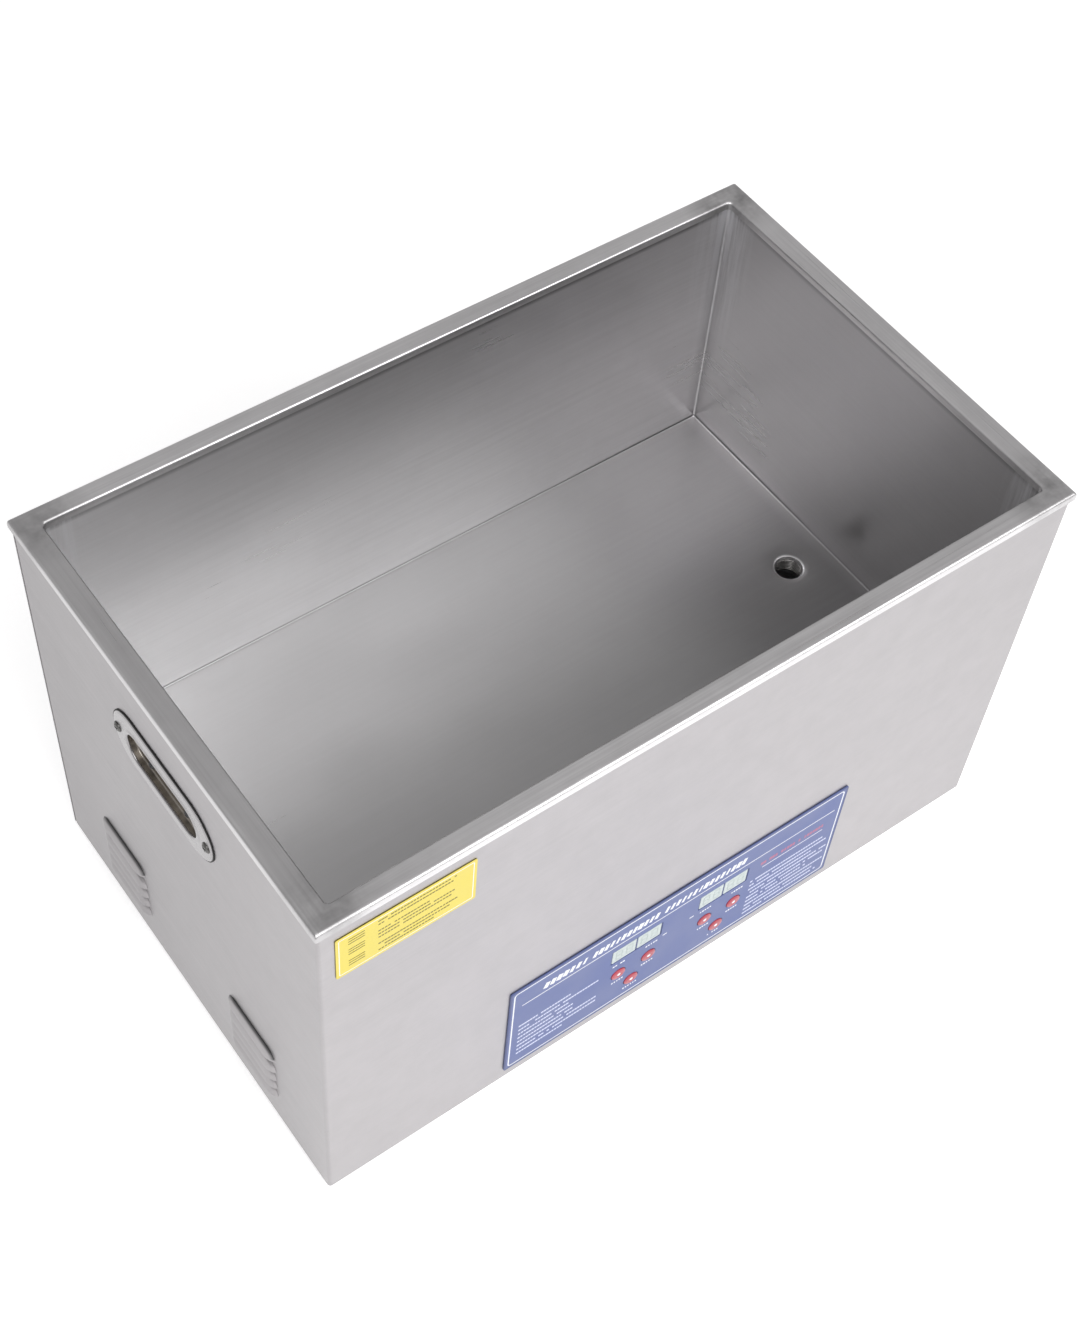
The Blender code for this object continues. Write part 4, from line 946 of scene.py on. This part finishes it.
print_bars("panel_heading_rule", [(-124, 126, 89, 0.8), (68, 119, 71.6, 0.7)], WHITE_INK)


# %% A tree that prints rows of dashes
DASH_DEPTH = 0.07 * MM


def random_between(tree, low, high, seed=None):
    inputs = {2: low, 3: high}
    if seed is not None:
        inputs["Seed"] = seed
    return add_node(tree, "FunctionNodeRandomValue", inputs, data_type="FLOAT").outputs[1]


def dashes_tree():
    inputs = {"Pitch": ("Float", 1.6 * MM), "Thick": ("Float", 1.2 * MM), "Keep": ("Float", 0.8)}
    inputs.update({"Slant": ("Float", 0.0), "Shortest": ("Float", 0.5), "Seed": ("Int", 1)})
    inputs["Finish"] = ("Material", None)
    tree, given, result = new_tree("printed dashes", inputs)
    pitch = given.outputs["Pitch"]
    line = add_node(tree, "GeometryNodeMeshToCurve", {0: given.outputs[0]}).outputs[0]
    points = add_node(tree, "GeometryNodeCurveToPoints", {0: line, "Length": pitch}, mode="LENGTH").outputs[0]
    chance = random_between(tree, 0.0, 1.0, given.outputs["Seed"])
    inputs = {0: chance, 1: given.outputs["Keep"]}
    gone = add_node(tree, "FunctionNodeCompare", inputs, operation="GREATER_THAN").outputs[0]
    left = add_node(tree, "GeometryNodeDeleteGeometry", {0: points, 1: gone}).outputs[0]
    wide = combine(tree, "MULTIPLY", random_between(tree, given.outputs["Shortest"], 0.95), pitch)
    size = add_node(tree, "ShaderNodeCombineXYZ", {0: wide, 1: DASH_DEPTH, 2: given.outputs["Thick"]}).outputs[0]
    cube = add_node(tree, "GeometryNodeMeshCube", {"Size": (1, 1, 1)}).outputs[0]
    slant = add_node(tree, "ShaderNodeCombineXYZ", {1: given.outputs["Slant"]}).outputs[0]
    inputs = {"Points": left, "Instance": cube, "Rotation": slant, "Scale": size}
    return close_tree(tree, given, result, add_node(tree, "GeometryNodeInstanceOnPoints", inputs).outputs[0])


DASHES = dashes_tree()


def print_dashes(name, rows, ink, pitch, thick, share, seed, slot="panel_blue", place=PANEL, **more):
    """Broken printed lines; each row is (left, right, height) on a face, and all sizes are in millimetres."""
    ends = [[(left * MM, up * MM, 0), (right * MM, up * MM, 0)] for left, right, up in rows]
    lines = lines_between([[place @ Vector(end) for end in pair] for pair in ends])
    grow(name, lines, DASHES, ink, slot, Pitch=pitch * MM, Thick=thick * MM, Keep=share, Seed=seed, **more)


# %% Print the panel's dashes
def note_rows(left, top, pitch, lengths):
    """Ruled rows of given lengths under each other; a zero leaves one out."""
    return [(left, left + length, top - pitch * row) for row, length in enumerate(lengths) if length]


left_rows = note_rows(-124, 62, 5.3, (38, 60, 37, 41, 41, 60, 60, 34))
right_rows = note_rows(61, 60, 5.1, (60, 66, 52, 66, 64, 50, 66, 58, 62))
heading = [(-106, -77, 96.4), (-69, -21, 96.4), (-13, 49, 96.4)]
captions = []
for group in GROUPS.values():
    x = group / MM
    captions += [(x - 17, x - 9, 61.5), (x + 9, x + 17, 61.5), (x - 16, x - 8, 38.6), (x + 8, x + 16, 38.6)]
    captions.append((x - 5, x + 5, 20.6))
print_dashes("panel_left_notes", left_rows, PALE_INK, 2.1, 1.7, 0.93, 3, Shortest=0.75)
print_dashes("panel_right_notes", right_rows, PALE_INK, 2.1, 1.7, 0.93, 5, Shortest=0.75)
print_dashes("panel_red_notes", [(67, 118, 77)], RED_INK, 2.4, 3.2, 0.95, 8)
print_dashes("panel_heading_ticks", heading, WHITE_INK, 4.2, 6.4, 2.0, 2, Slant=0.35, Shortest=0.36)
print_dashes("panel_captions", captions, WHITE_INK, 1.7, 1.5, 0.95, 9)
print_bars("panel_lamp_marks", [(-12.6, -9.2, 63.2, 1.0), (9.2, 12.6, 63.2, 1.0)], WHITE_INK)


# %% Fit the displays
def digit_bars(x, y, width, height):
    """The seven strokes of a numeral, as (centre x, centre y, size x, size y)."""
    stroke = 0.14 * width
    bars = [(x, y + k * height / 2, width - 1.6 * stroke, stroke) for k in (-1, 0, 1)]
    tall, quarters = height / 2 - 1.2 * stroke, [(i, j) for i in (-1, 1) for j in (-1, 1)]
    return bars + [(x + i * width / 2, y + j * height / 4, stroke, tall) for i, j in quarters]


PANE = [(0, -9 * MM, 0), (0, -0.1 * MM, 0.5 * MM), (9 * MM, -0.1 * MM, 0)]
SURROUND = (-1.2 * MM, -0.25 * MM)
for name, group in GROUPS.items():
    bm = bmesh.new()
    for shift in (-9.9 * MM, 9.9 * MM):
        rings = []
        for inset, z in fillet(PANE, 4)[:-1]:
            radius = max(1.0 * MM - inset, 0.2 * MM)
            rings.append(ring(9.4 * MM - inset, 7.4 * MM - inset, radius, z, (group + shift, WINDOW_HEIGHT), 4))
        loft(bm, rings, capped=True)
    piece(f"{name}_panes", bm, LENS, [f"{name}_display"], place=PANEL)
    bm = bmesh.new()
    for shift in (-14, -5.8, 5.8, 14):
        for x, y, wide, tall in digit_bars(group + shift * MM, WINDOW_HEIGHT, 4.6 * MM, 9.4 * MM):
            add_box(bm, (wide, tall, 0.03 * MM), (x, y, -0.09 * MM))
    piece(f"{name}_segments", bm, GHOST, place=PANEL)
    here = (group, WINDOW_HEIGHT)
    surround = rectangle_band(20.1 * MM, 7.9 * MM, 1.1 * MM, 0.7 * MM, *SURROUND, here)
    merge(surround, slab(0.5 * MM, 7.6 * MM, 0.2 * MM, *SURROUND, here, 2))
    piece(f"{name}_gasket", surround, PANEL_EDGE, place=PANEL)

# %% Turn the push buttons
# A soft key: a dished top with a raised rim, drawn from the centre outwards and down to its flange and stem.
KEY_TOP = [(0, 0.70, 0), (1.5, 0.70, 0.1), (1.9, 0.95, 0.15), (3.6, 0.93, 1.2), (5.5, 0.45, 0.5), (5.55, -2.2, 0)]
KEY_STEM = [(5.55, -2.6), (6.8, -2.6), (6.8, -3.5), (2.0, -3.5), (2.0, -6.9)]
KEY_DOT = [(1.35, 0.6), (1.35, 0.78), (1.1, 0.93), (0.5, 1.0)]
for group_name, group in GROUPS.items():
    for name, (across, up) in BUTTONS.items():
        node, body = f"{group_name}_{name}_button", f"button_{group_name}_{name}"
        here = PANEL @ Matrix.Translation((group + across, up, 0))
        cap = turned([(max(r, 0.01), z) for r, z in fillet(KEY_TOP, 4)] + KEY_STEM, 40)
        piece(f"{node}_cap", solid(cap), BUTTON_RED, [node], body, here)
        piece(f"{node}_dot", solid(turned(KEY_DOT, 24)), WHITE_INK, (), body, here)

# %% [markdown]
# ## Yellow label
# A yellow film sits high on the front's left. Its wording and pictures are left out: it carries a border line
# and plain ruled dashes only.

# %% Print the yellow label
label_low, label_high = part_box("yellow_label")
label_middle = middle_of("yellow_label")
LABEL = facing((0, -1, 0), (label_middle.x, label_low.y, label_middle.z))
LABEL_HALF = ((label_high.x - label_low.x) / 2, (label_high.z - label_low.z) / 2)
film = slab(*LABEL_HALF, 1.2 * MM, -0.3 * MM, 0)
piece("label_film", film, YELLOW_FILM, ["yellow_label"], place=LABEL)
inner = [half - 1.8 * MM for half in LABEL_HALF]
border = rectangle_band(*inner, 1.0 * MM, 0.5 * MM, INK_LOW, INK_HIGH, (0, 0))
piece("label_border", border, WHITE_INK, place=LABEL)
rows = note_rows(-17, 15.2, 3.3, (47, 45, 0, 30, 46, 44, 0, 48, 43, 33))
print_dashes("label_rows", rows, OLIVE_INK, 1.9, 1.15, 0.93, 14, "yellow_film", LABEL, Shortest=0.7)
blocks = [(-36, -26, up, 0.7) for middle in (12, 1.5, -10) for up in (middle - 2.4, middle, middle + 2.4)]
print_bars("label_ruled_blocks", blocks, OLIVE_INK, LABEL)

# %% [markdown]
# ## Welds and drain
# The tank's seams are welded and ground. A tree follows the seams, varies each bead's width from a fixed seed and
# gives it a round section. The beads lie within the tank's sheet, which grows inwards from its drawn face, so
# they hardly show. In the floor, the drain's threaded collar shows inside the hole.


# %% A tree that lays weld beads and wire
def bead_tree():
    inputs = {"Pitch": ("Float", 2 * MM), "Radius": ("Float", 0.6 * MM), "Uneven": ("Float", 0.2)}
    inputs.update({"Seed": ("Int", 4), "Finish": ("Material", None)})
    tree, given, result = new_tree("beads along lines", inputs)
    line = add_node(tree, "GeometryNodeMeshToCurve", {0: given.outputs[0]}).outputs[0]
    inputs = {0: line, "Length": given.outputs["Pitch"]}
    fine = add_node(tree, "GeometryNodeResampleCurve", inputs, mode="LENGTH").outputs[0]
    uneven = given.outputs["Uneven"]
    least, most = combine(tree, "SUBTRACT", 1.0, uneven), combine(tree, "ADD", 1.0, uneven)
    width = random_between(tree, least, most, given.outputs["Seed"])
    inputs = {"Resolution": 8, "Radius": given.outputs["Radius"]}
    section = add_node(tree, "GeometryNodeCurvePrimitiveCircle", inputs).outputs[0]
    inputs = {"Curve": fine, "Profile Curve": section, "Scale": width, "Fill Caps": True}
    return close_tree(tree, given, result, add_node(tree, "GeometryNodeCurveToMesh", inputs).outputs[0])


BEADS = bead_tree()
half_x, half_y = TANK_HALF[0] - 0.75 * MM, TANK_HALF[1] - 0.75 * MM
left, right = CENTRE - half_x, CENTRE + half_x
low, high = TANK_FLOOR + 0.7 * MM, RIM_TOP - LIP
seams = []
for x, y in ((right, half_y), (left, half_y), (left, -half_y), (right, -half_y)):
    seams.append(((x, y, low), (x, y, high)))
seams += [((x, -half_y, low), (x, half_y, low)) for x in (left, right)]
grow("tank_end_welds", lines_between(seams), BEADS, TANK_STEEL, "tank_steel", Radius=0.34 * MM, Uneven=0.3)
seams = [((left, y, low), (right, y, low)) for y in (-half_y, half_y)]
grow("tank_long_welds", lines_between(seams), BEADS, WELD_STEEL, "tank_steel", Radius=0.8 * MM, Uneven=0.1)


# %% Turn the drain collar and bend the drain pipe
def tube(route, radius):
    """Circles square to a route in the XZ plane."""
    rings = []
    for index, point in enumerate(route):
        before, after = route[max(index - 1, 0)], route[min(index + 1, len(route) - 1)]
        across = Vector((0, 1, 0)).cross((Vector(after) - Vector(before)).normalized())
        flat = circle(radius, 0, 40)
        rings.append([Vector(point) + x * across + y * Vector((0, 1, 0)) for x, y, level in flat])
    return rings


collar = [(10.1, -1.9)]
for turn in range(7):
    top = -(2.3 + 1.5 * turn)
    collar += [(9.1, top), (8.7, top - 0.35), (9.3, top - 0.75), (9.3, top - 1.1)]
collar += [(9.9, -14), (9.9, -2.2)]
at_drain = Matrix.Translation((CENTRE + DRAIN_X, 0, TANK_FLOOR))
# The collar takes the dark screw steel, a painted shade for the inside of the drain hole.
piece("drain_collar", hollow(turned(collar)), SCREW_STEEL, place=at_drain)

pipe_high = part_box("drain_pipe")[1]
PIPE_RADIUS, PIPE_WALL, PIPE_BEND = 12 * MM, 1.9 * MM, 22 * MM
drain_x = CENTRE + DRAIN_X
plan = [(drain_x, pipe_high.z, 0), (drain_x, PIPE_HEIGHT, PIPE_BEND), (pipe_high.x, PIPE_HEIGHT, 0)]
route = [(x, 0, z) for x, z in fillet(plan, steps=14)]
skins = tube(route, PIPE_RADIUS) + tube(route, PIPE_RADIUS - PIPE_WALL)[::-1]
piece("drain_bend", hollow(skins), TANK_STEEL, ["drain_pipe"])

# %% [markdown]
# ## Ball valve
# A quarter-turn valve hangs on the drain pipe's end. Its body is a hexagon at the pipe and a round barrel round
# the ball, and its outlet is a hose tail. A hexagon ring and a circle ring with the same number of points loft
# into each other, which gives the turned shoulders that such fittings have.

# %% Turn the valve body and hose tail
VALVE_X = middle_of("valve_ball").x
VALVE = facing((1, 0, 0), (VALVE_X, 0, PIPE_HEIGHT))


def hexagon(apothem, height, corner):
    """A hexagon ring with as many points as a circle, whose corners are turned down to a corner radius."""
    points = []
    for index in range(48):
        angle = 2 * math.pi * index / 48
        radius = min(apothem / math.cos((angle + math.pi / 6) % (math.pi / 3) - math.pi / 6), corner)
        points.append((radius * math.cos(angle), radius * math.sin(angle), height))
    return points


def fitting(section, apothem):
    """Rings from (radius, height) rows in millimetres; a third entry turns that row down from a hexagon."""
    rings = []
    for radius, height, *flats in section:
        if flats:
            rings.append(hexagon(apothem * MM, height * MM, radius * MM))
        else:
            rings.append(circle(radius * MM, height * MM))
    return rings


barrel = [(12.4, -24), (15.4, -24, 6), (17.3, -23, 6), (17.3, -14, 6), (15.0, -12.8, 6), (14.8, -12.4)]
barrel += [(16.6, -11.4), (17.4, -10), (17.5, -8), (17.5, 8), (17.4, 12), (16.8, 14.4), (15.6, 15.6), (13.2, 16)]
barrel += [(13.0, 11.2), (11.6, 11.1), (11.6, -11.1), (8, -11.1), (8, -14), (12.4, -14)]
piece("valve_barrel", hollow(fitting(barrel, 15.2)), NICKEL, ["valve_body"], place=VALVE)
neck = [(4.5, 15), (9.5, 15), (9.0, 18.2), (8.0, 19), (8.0, 21.4), (7.4, 21.6)]
neck += [(7.4, 21.6, 6), (7.9, 22.0, 6), (7.9, 25.6, 6), (7.3, 26.2, 6), (4.5, 26.2)]
stem_up = facing((0, 0, 1), (VALVE_X, 0, PIPE_HEIGHT))
piece("valve_neck", hollow(fitting(neck, 6.9)), NICKEL, place=stem_up)

tail = [(8, 11.4), (12.6, 11.4), (12.6, 16.3), (14.6, 16.4, 6), (15.4, 17, 6), (15.4, 23.4, 6), (14.4, 24.4, 6)]
for start in (24.8, 28.4, 32.0):
    tail += [(9.2, start), (10.4, start + 0.35), (9.1, start + 3.3)]
tail += [(8.8, 36), (8.0, 35.6)]
piece("valve_hose_tail", hollow(fitting(tail, 13.4)), NICKEL, ["valve_end"], place=VALVE)

nut = [(12.5, 0), (17.2, 0, 6), (18.8, 0.9, 6), (18.8, 4.1, 6), (17.2, 5, 6), (12.5, 5)]
lock_place = facing((1, 0, 0), (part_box("drain_lock_nut")[0].x, 0, PIPE_HEIGHT))
piece("lock_nut", hollow(fitting(nut, 16.4)), NICKEL, ["drain_lock_nut"], place=lock_place)

# %% Bend the lever and dip its grip
lever_low, lever_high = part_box("valve_lever")
grip_low, grip_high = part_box("lever_grip")
GRIP_MIDDLE = (grip_low.z + grip_high.z) / 2
STRIP, STRIP_HALF = 2.4 * MM, 6.5 * MM


def lever_line():
    """The strip's underside from behind the stem to its tip, as (y, z)."""
    crank = GRIP_MIDDLE - STRIP / 2
    bends = [(-14 * MM, lever_low.z, 5 * MM), (-24 * MM, crank, 5 * MM)]
    return fillet([(lever_high.y, lever_low.z, 0), *bends, (lever_low.y, crank, 0)], 6)


def round_end(share):
    """A half circle's outline: zero at the end and one from a share of one on."""
    return math.sqrt(max(0.0, 1 - (1 - min(share, 1)) ** 2))


def strip_half_width(y):
    """The strip is round at both ends and waisted between the stem and the grip."""
    ends = min(round_end((y - lever_low.y) / STRIP_HALF), round_end((lever_high.y - y) / (7.5 * MM)))
    waist = 1 - 0.16 * math.exp(-(((y + 20 * MM) / (9 * MM)) ** 2))
    return STRIP_HALF * max(0.12, ends) * waist


def strip_sections(line):
    """Closed rectangular sections, with more of them near the round ends."""
    lengths = [(Vector(b) - Vector(a)).length for a, b in zip(line, line[1:])]
    rings = []
    for step in range(49):
        rest = (0.5 - 0.5 * math.cos(math.pi * step / 48)) * sum(lengths)
        for (start, end), length in zip(zip(line, line[1:]), lengths):
            if rest <= length:
                break
            rest -= length
        y, z = Vector(start).lerp(Vector(end), min(rest / length, 1))
        half = strip_half_width(y)
        edge = min(0.35 * MM, half / 3)
        corners = [(-half, edge), (-half + edge, 0), (half - edge, 0), (half, edge)]
        corners += [(half, STRIP - edge), (half - edge, STRIP), (-half + edge, STRIP), (-half, STRIP - edge)]
        rings.append([(VALVE_X + x, y, z + up) for x, up in corners])
    return rings


strip = solid(strip_sections(lever_line()))
piece("lever_strip", strip, BRIGHT_STEEL, ["valve_lever"], "valve_handle")

grip_half = ((grip_high.x - grip_low.x) / 2, (grip_high.z - grip_low.z) / 2)
rings = []
for step in range(61):
    along = step / 60
    swell = round_end(along / 0.12) * (1 - 0.05 * max(0, along - 0.8) / 0.2)
    groove = 1 - 0.05 * (0.5 + 0.5 * math.cos(2 * math.pi * along * 9)) * (0.15 < along < 0.92)
    width, height = [half * max(swell, 0.35) * groove for half in grip_half]
    rings.append(ring(width, height, height * 0.92, along * (grip_high.y - grip_low.y), steps=7))
here = facing((0, 1, 0), (VALVE_X, grip_low.y, GRIP_MIDDLE))
piece("lever_dipped_grip", solid(rings), RED_GRIP, ["lever_grip"], "valve_handle", here)

nut = hollow(fitting([(4.2, 0), (6.6, 0, 6), (7.35, 0.6, 6), (7.35, 4.3, 6), (6.6, 5, 6), (4.2, 5)], 6.4))
here = facing((0, 0, 1), (VALVE_X, 0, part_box("lever_nut")[0].z))
piece("lever_top_nut", nut, BRIGHT_STEEL, ["lever_nut"], "valve_handle", here)

# %% [markdown]
# ## Feet
# Rubber feet are moulded with a soft outer edge, a few grip rings underneath and a deep pocket for the screw.

# %% Mould the feet
FOOT = [(4.6, 4.0), (4.6, 0.6), (5.0, 0.15), (5.6, 0.0), (7.0, 0.0), (7.3, 0.35), (7.9, 0.35), (8.2, 0.0), (9.4, 0.0)]
FOOT += [(9.7, 0.3), (10.3, 0.3), (10.6, 0.05), (11.2, 0.35), (11.6, 1.2), (12.7, 6.2), (13.0, 7.6), (13.0, 9.1)]
FOOT += [(12.6, 9.7), (4.6, 9.7)]
screw = cross_screw(3.9 * MM, 1.6 * MM)
for node in ("foot_front_left", "foot_front_right", "foot_rear_left", "foot_rear_right"):
    x, y, z = middle_of(node)
    moulding = hollow(turned(FOOT, 56))
    piece(f"{node}_moulding", moulding, RUBBER, [node], place=Matrix.Translation((x, y, 0)))
    copy_onto(f"{node}_screw", [((x, y, 5.2 * MM), (0, 0, -1), (0, 1, 0))], screw, ZINC, "rubber")

# %% [markdown]
# ## Back of the case
# The rear panel is a flat sheet held by cross-head screws. It carries the mains inlet, the rocker switch and the
# fan, whose slots are covered by a wire guard. The guard is rings and spokes of one wire, laid by the same tree
# as the weld beads.

# %% Screw down the rear panel and the tray
places = []
for x in (7 * MM - SIDE, SIDE - 7 * MM):
    places += [((CENTRE + x, FRONT, CASE_LOW + z * MM), (0, 1, 0), (0.3, 0, 0.95)) for z in (28, 110, 200, 288)]
places += [((CENTRE + x * MM, FRONT, CASE_LOW + 8 * MM), (0, 1, 0), (0.6, 0, 0.8)) for x in (-90, 90)]
copy_onto("rear_screws", places, screw, ZINC, "case_steel")
tray_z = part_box("base_tray")[0].z
places = []
EDGE_ROWS, MIDDLE_ROWS = ((-250, -90, 90, 250), (-147, 147)), ((-130, 50), (-48, 48))
for (columns, lines), up in ((EDGE_ROWS, (0.4, 0.9, 0)), (MIDDLE_ROWS, (0.8, 0.6, 0))):
    places += [((CENTRE + x * MM, y * MM, tray_z), (0, 0, -1), up) for x in columns for y in lines]
copy_onto("tray_screws", places, screw, ZINC, "case_steel", last=True)

# %% Form the fan guard
fan_middle = middle_of("fan_frame")
FAN = Vector((fan_middle.x, FRONT + 2.2 * MM, fan_middle.z))


def guard_lines():
    lines = []
    for radius in (8, 14, 20, 26, 32, 38):
        points = [FAN + Vector((x, 0, z)) for x, z, level in circle(radius * MM, sides=64)]
        lines += list(zip(points, points[1:] + points[:1]))
    for quarter in range(4):
        turn = math.pi / 4 + quarter * math.pi / 2
        out = Vector((math.cos(turn), 0, math.sin(turn)))
        lift = Vector((0, 1.3 * MM, 0))
        lines.append((FAN + out * 7 * MM + lift, FAN + out * 40 * MM + lift))
        lines.append((FAN + out * 40 * MM + lift, FAN + out * 48 * MM - Vector((0, 0.9 * MM, 0))))
    return lines


wires = lines_between(guard_lines())
grow("fan_guard", wires, BEADS, BRIGHT_STEEL, "bright_steel", Radius=0.75 * MM, Uneven=0.0, Pitch=50 * MM)
reach = 35.7 * MM
corners = [(FAN.x + x * reach, FRONT + 1.4 * MM, FAN.z + z * reach) for x in (-1, 1) for z in (-1, 1)]
places = [(corner, (0, 1, 0), (0.2, 0, 1)) for corner in corners]
copy_onto("guard_screws", places, cross_screw(3.4 * MM, 1.5 * MM), ZINC, "bright_steel", last=True)


# %% Mould the mains inlet
def on_back(node):
    """A frame on a fitting's outer face, looking backwards out of the case."""
    x, y, z = middle_of(node)
    return facing((0, 1, 0), (x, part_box(node)[1].y, z))


def inlet_mouth(grow_by, height):
    """The inlet's opening: a rectangle whose two upper corners are cut off."""
    x, y, cut = (12.2 + grow_by) * MM, (8.2 + grow_by) * MM, 3.6 * MM
    corners = [(x, -y, 1 * MM), (x, y - cut, 0.8 * MM), (x - cut, y, 0.8 * MM)]
    corners += [(cut - x, y, 0.8 * MM), (-x, y - cut, 0.8 * MM), (-x, -y, 1 * MM)]
    return [(a, b, height * MM) for a, b in fillet(corners, 4, closed=True)]


def flange(half_x, half_y, height):
    """An outline with as many points as the mouth, spread by angle so that the loft doesn't twist."""
    points = []
    for a, b, level in inlet_mouth(0, 0):
        scale = min(half_x * MM / max(abs(a), 1e-9), half_y * MM / max(abs(b), 1e-9))
        points.append((a * scale, b * scale, height * MM))
    return points


INLET = on_back("power_inlet")
rings = [inlet_mouth(0, -20), inlet_mouth(0, -0.8), inlet_mouth(0.7, 0), flange(23.4, 11.4, 0)]
rings += [flange(24, 12, -0.7), flange(24, 12, -3), inlet_mouth(1.5, -3), inlet_mouth(1.5, -24.5)]
piece("inlet_shroud", solid(rings), BLACK_PLASTIC, ["power_inlet"], place=INLET)
bm = bmesh.new()
for x, y in ((-7, -1.5), (7, -1.5), (0, 2.5)):
    pin = [(0, -20), (0, -5.6), (0.45, -5.0)]
    rings = [ring((1 - i) * MM, (2 - i) * MM, 0.35 * MM, z * MM, (x * MM, y * MM), 3) for i, z in pin]
    loft(bm, rings, capped=True)
piece("inlet_pins", bm, NICKEL, place=INLET)

# %% Mould the rocker switch
HOUSING = [(9.2, 12.7, 0.6, -14), (9.2, 12.7, 0.6, -0.5), (9.8, 13.3, 1, 0), (12.4, 15.4, 2, 0), (13, 16, 2.4, -0.6)]
HOUSING += [(13, 16, 2.4, -2), (10.8, 13.8, 1.2, -2), (10.8, 13.8, 1.2, -20)]
bezel, here = solid([ring(*(value * MM for value in row)) for row in HOUSING]), on_back("switch_housing")
piece("switch_bezel", bezel, BLACK_PLASTIC, ["switch_housing"], place=here)

pivot = next(joint for joint in frame["joints"] if joint["name"] == "switch_rock")["pos_m"]
ROCKER = Matrix.Translation(pivot) @ Matrix.Rotation(math.radians(-9), 4, "X")
MARK_HEIGHT, MARK_OFF, MARK_SLOPE = 4.86 * MM, 6.8 * MM, 6.8


def rocker_outline(inset, across):
    """Seen from the side: a shallow V on top with rolled ends, narrowing to the pivot."""
    end, top, foot = 10.8 - inset, 5.4 - inset, inset - 4.1
    corners = [(end + 0.5, 1.5, 0.8), (end, top, 1.4), (0, 4.1 - inset, 9), (-end, top, 1.4), (-end - 0.5, 1.5, 0.8)]
    corners += [(-5, foot, 1), (5, foot, 1)]
    return [(across * MM, b * MM, a * MM) for a, b in fillet(corners, 5, closed=True)]


key = solid([rocker_outline(inset, across) for across, inset in ((-8.9, 0.5), (-8.4, 0), (8.4, 0), (8.9, 0.5))])
piece("rocker_key", key, BUTTON_RED, ["switch_rocker"], "rocker", ROCKER)
bm = bmesh.new()
upper, lower = [Matrix.Rotation(math.radians(slope), 4, "X") for slope in (MARK_SLOPE, -MARK_SLOPE - 90)]
add_box(bm, (0.9 * MM, 0.12 * MM, 3.6 * MM), (0, MARK_HEIGHT, MARK_OFF), upper)
lower = Matrix.Translation((0, MARK_HEIGHT, -MARK_OFF)) @ lower
merge(bm, rectangle_band(1.8 * MM, 1.8 * MM, 1.8 * MM, 0.45 * MM, -0.06 * MM, 0.06 * MM, (0, 0)), lower)
piece("rocker_marks", bm, WHITE_INK, (), "rocker", ROCKER)

# %% [markdown]
# ## Inside the case
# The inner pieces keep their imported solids, except the transducers, which get a finer turned shape in four
# materials: an aluminium bell, ceramic rings with copper electrodes, and a plated steel back mass on a bolt.

# %% Turn the transducers
transducers = [f"transducer_{number:02d}" for number in range(1, 11)]
places = []
for node in transducers:
    x, y, z = middle_of(node)
    places.append(((x, y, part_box(node)[1].z), (0, 0, -1), (0, 1, 0)))
bell = fillet([(23, 0, 0), (23, 3, 0.5), (19, 22.6, 1), (19, 23.6, 0.3), (17, 23.8, 0)], 3)
shape = template(solid(turned(bell, 36)))
copy_onto("transducer_bells", places, shape, ALUMINIUM, "aluminium", transducers, last=True)
bm = bmesh.new()
for low in (23.9, 29.8):
    loft(bm, turned([(16.9, low), (17.4, low + 0.3), (17.4, low + 4.9), (16.9, low + 5.2)], 32), capped=True)
copy_onto("transducer_ceramics", places, template(bm), CERAMIC, "aluminium", last=True)
bm = bmesh.new()
for low in (29.15, 35.05):
    loft(bm, turned([(17.9, low), (17.9, low + 0.6)], 32), capped=True)
    add_box(bm, (5 * MM, 9 * MM, 0.6 * MM), (0, -18 * MM, (low + 0.3) * MM))
copy_onto("transducer_electrodes", places, template(bm), COPPER, "aluminium", last=True)
mass = [(17, 35.7), (18.6, 36.3), (19, 37), (19, 49.2), (18.4, 50), (7, 50)]
mass += [(6.9, 50, 6), (6.9, 56.3, 6), (6.3, 57, 6)]
copy_onto("transducer_masses", places, template(solid(fitting(mass, 6.0))), ZINC, "aluminium", last=True)

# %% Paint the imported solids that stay
painted = {
    "rear_panel": CASE_STEEL, "base_tray": CASE_STEEL, "heat_sink": ALUMINIUM, "temperature_sensor": ALUMINIUM,
    "control_board": BOARD_GREEN, "generator_board": BOARD_GREEN, "output_transformer": COPPER,
    "heating_pad_front": PAD_SILICONE, "heating_pad_rear": PAD_SILICONE, "fan_frame": BLACK_PLASTIC,
    "fan_rotor": BLACK_PLASTIC, "valve_ball": BRIGHT_STEEL, "valve_stem": BRIGHT_STEEL,
    "valve_seat_inner": SEAT_WHITE, "valve_seat_outer": SEAT_WHITE,
}
for node, finish in painted.items():
    slots = frame["nodes"][node].data.materials
    slots.clear()
    slots.append(finish)
print("painted", len(painted), "packed solids")

# %% [markdown]
# ## Floor
# The stand is a plain pale floor.

# %% Lay the floor
FLOOR_GLOW = 0.42
floor_finish, floor_shader = new_finish("pale_floor", 0.9, colour=(0.90, 0.90, 0.90))
floor_shader.inputs["Emission Color"].default_value = (1, 1, 1, 1)
floor_shader.inputs["Emission Strength"].default_value = FLOOR_GLOW
bm = bmesh.new()
bmesh.ops.create_grid(bm, x_segments=1, y_segments=1, size=30)
floor = object_from("floor", bm)
floor.data.materials.append(floor_finish)
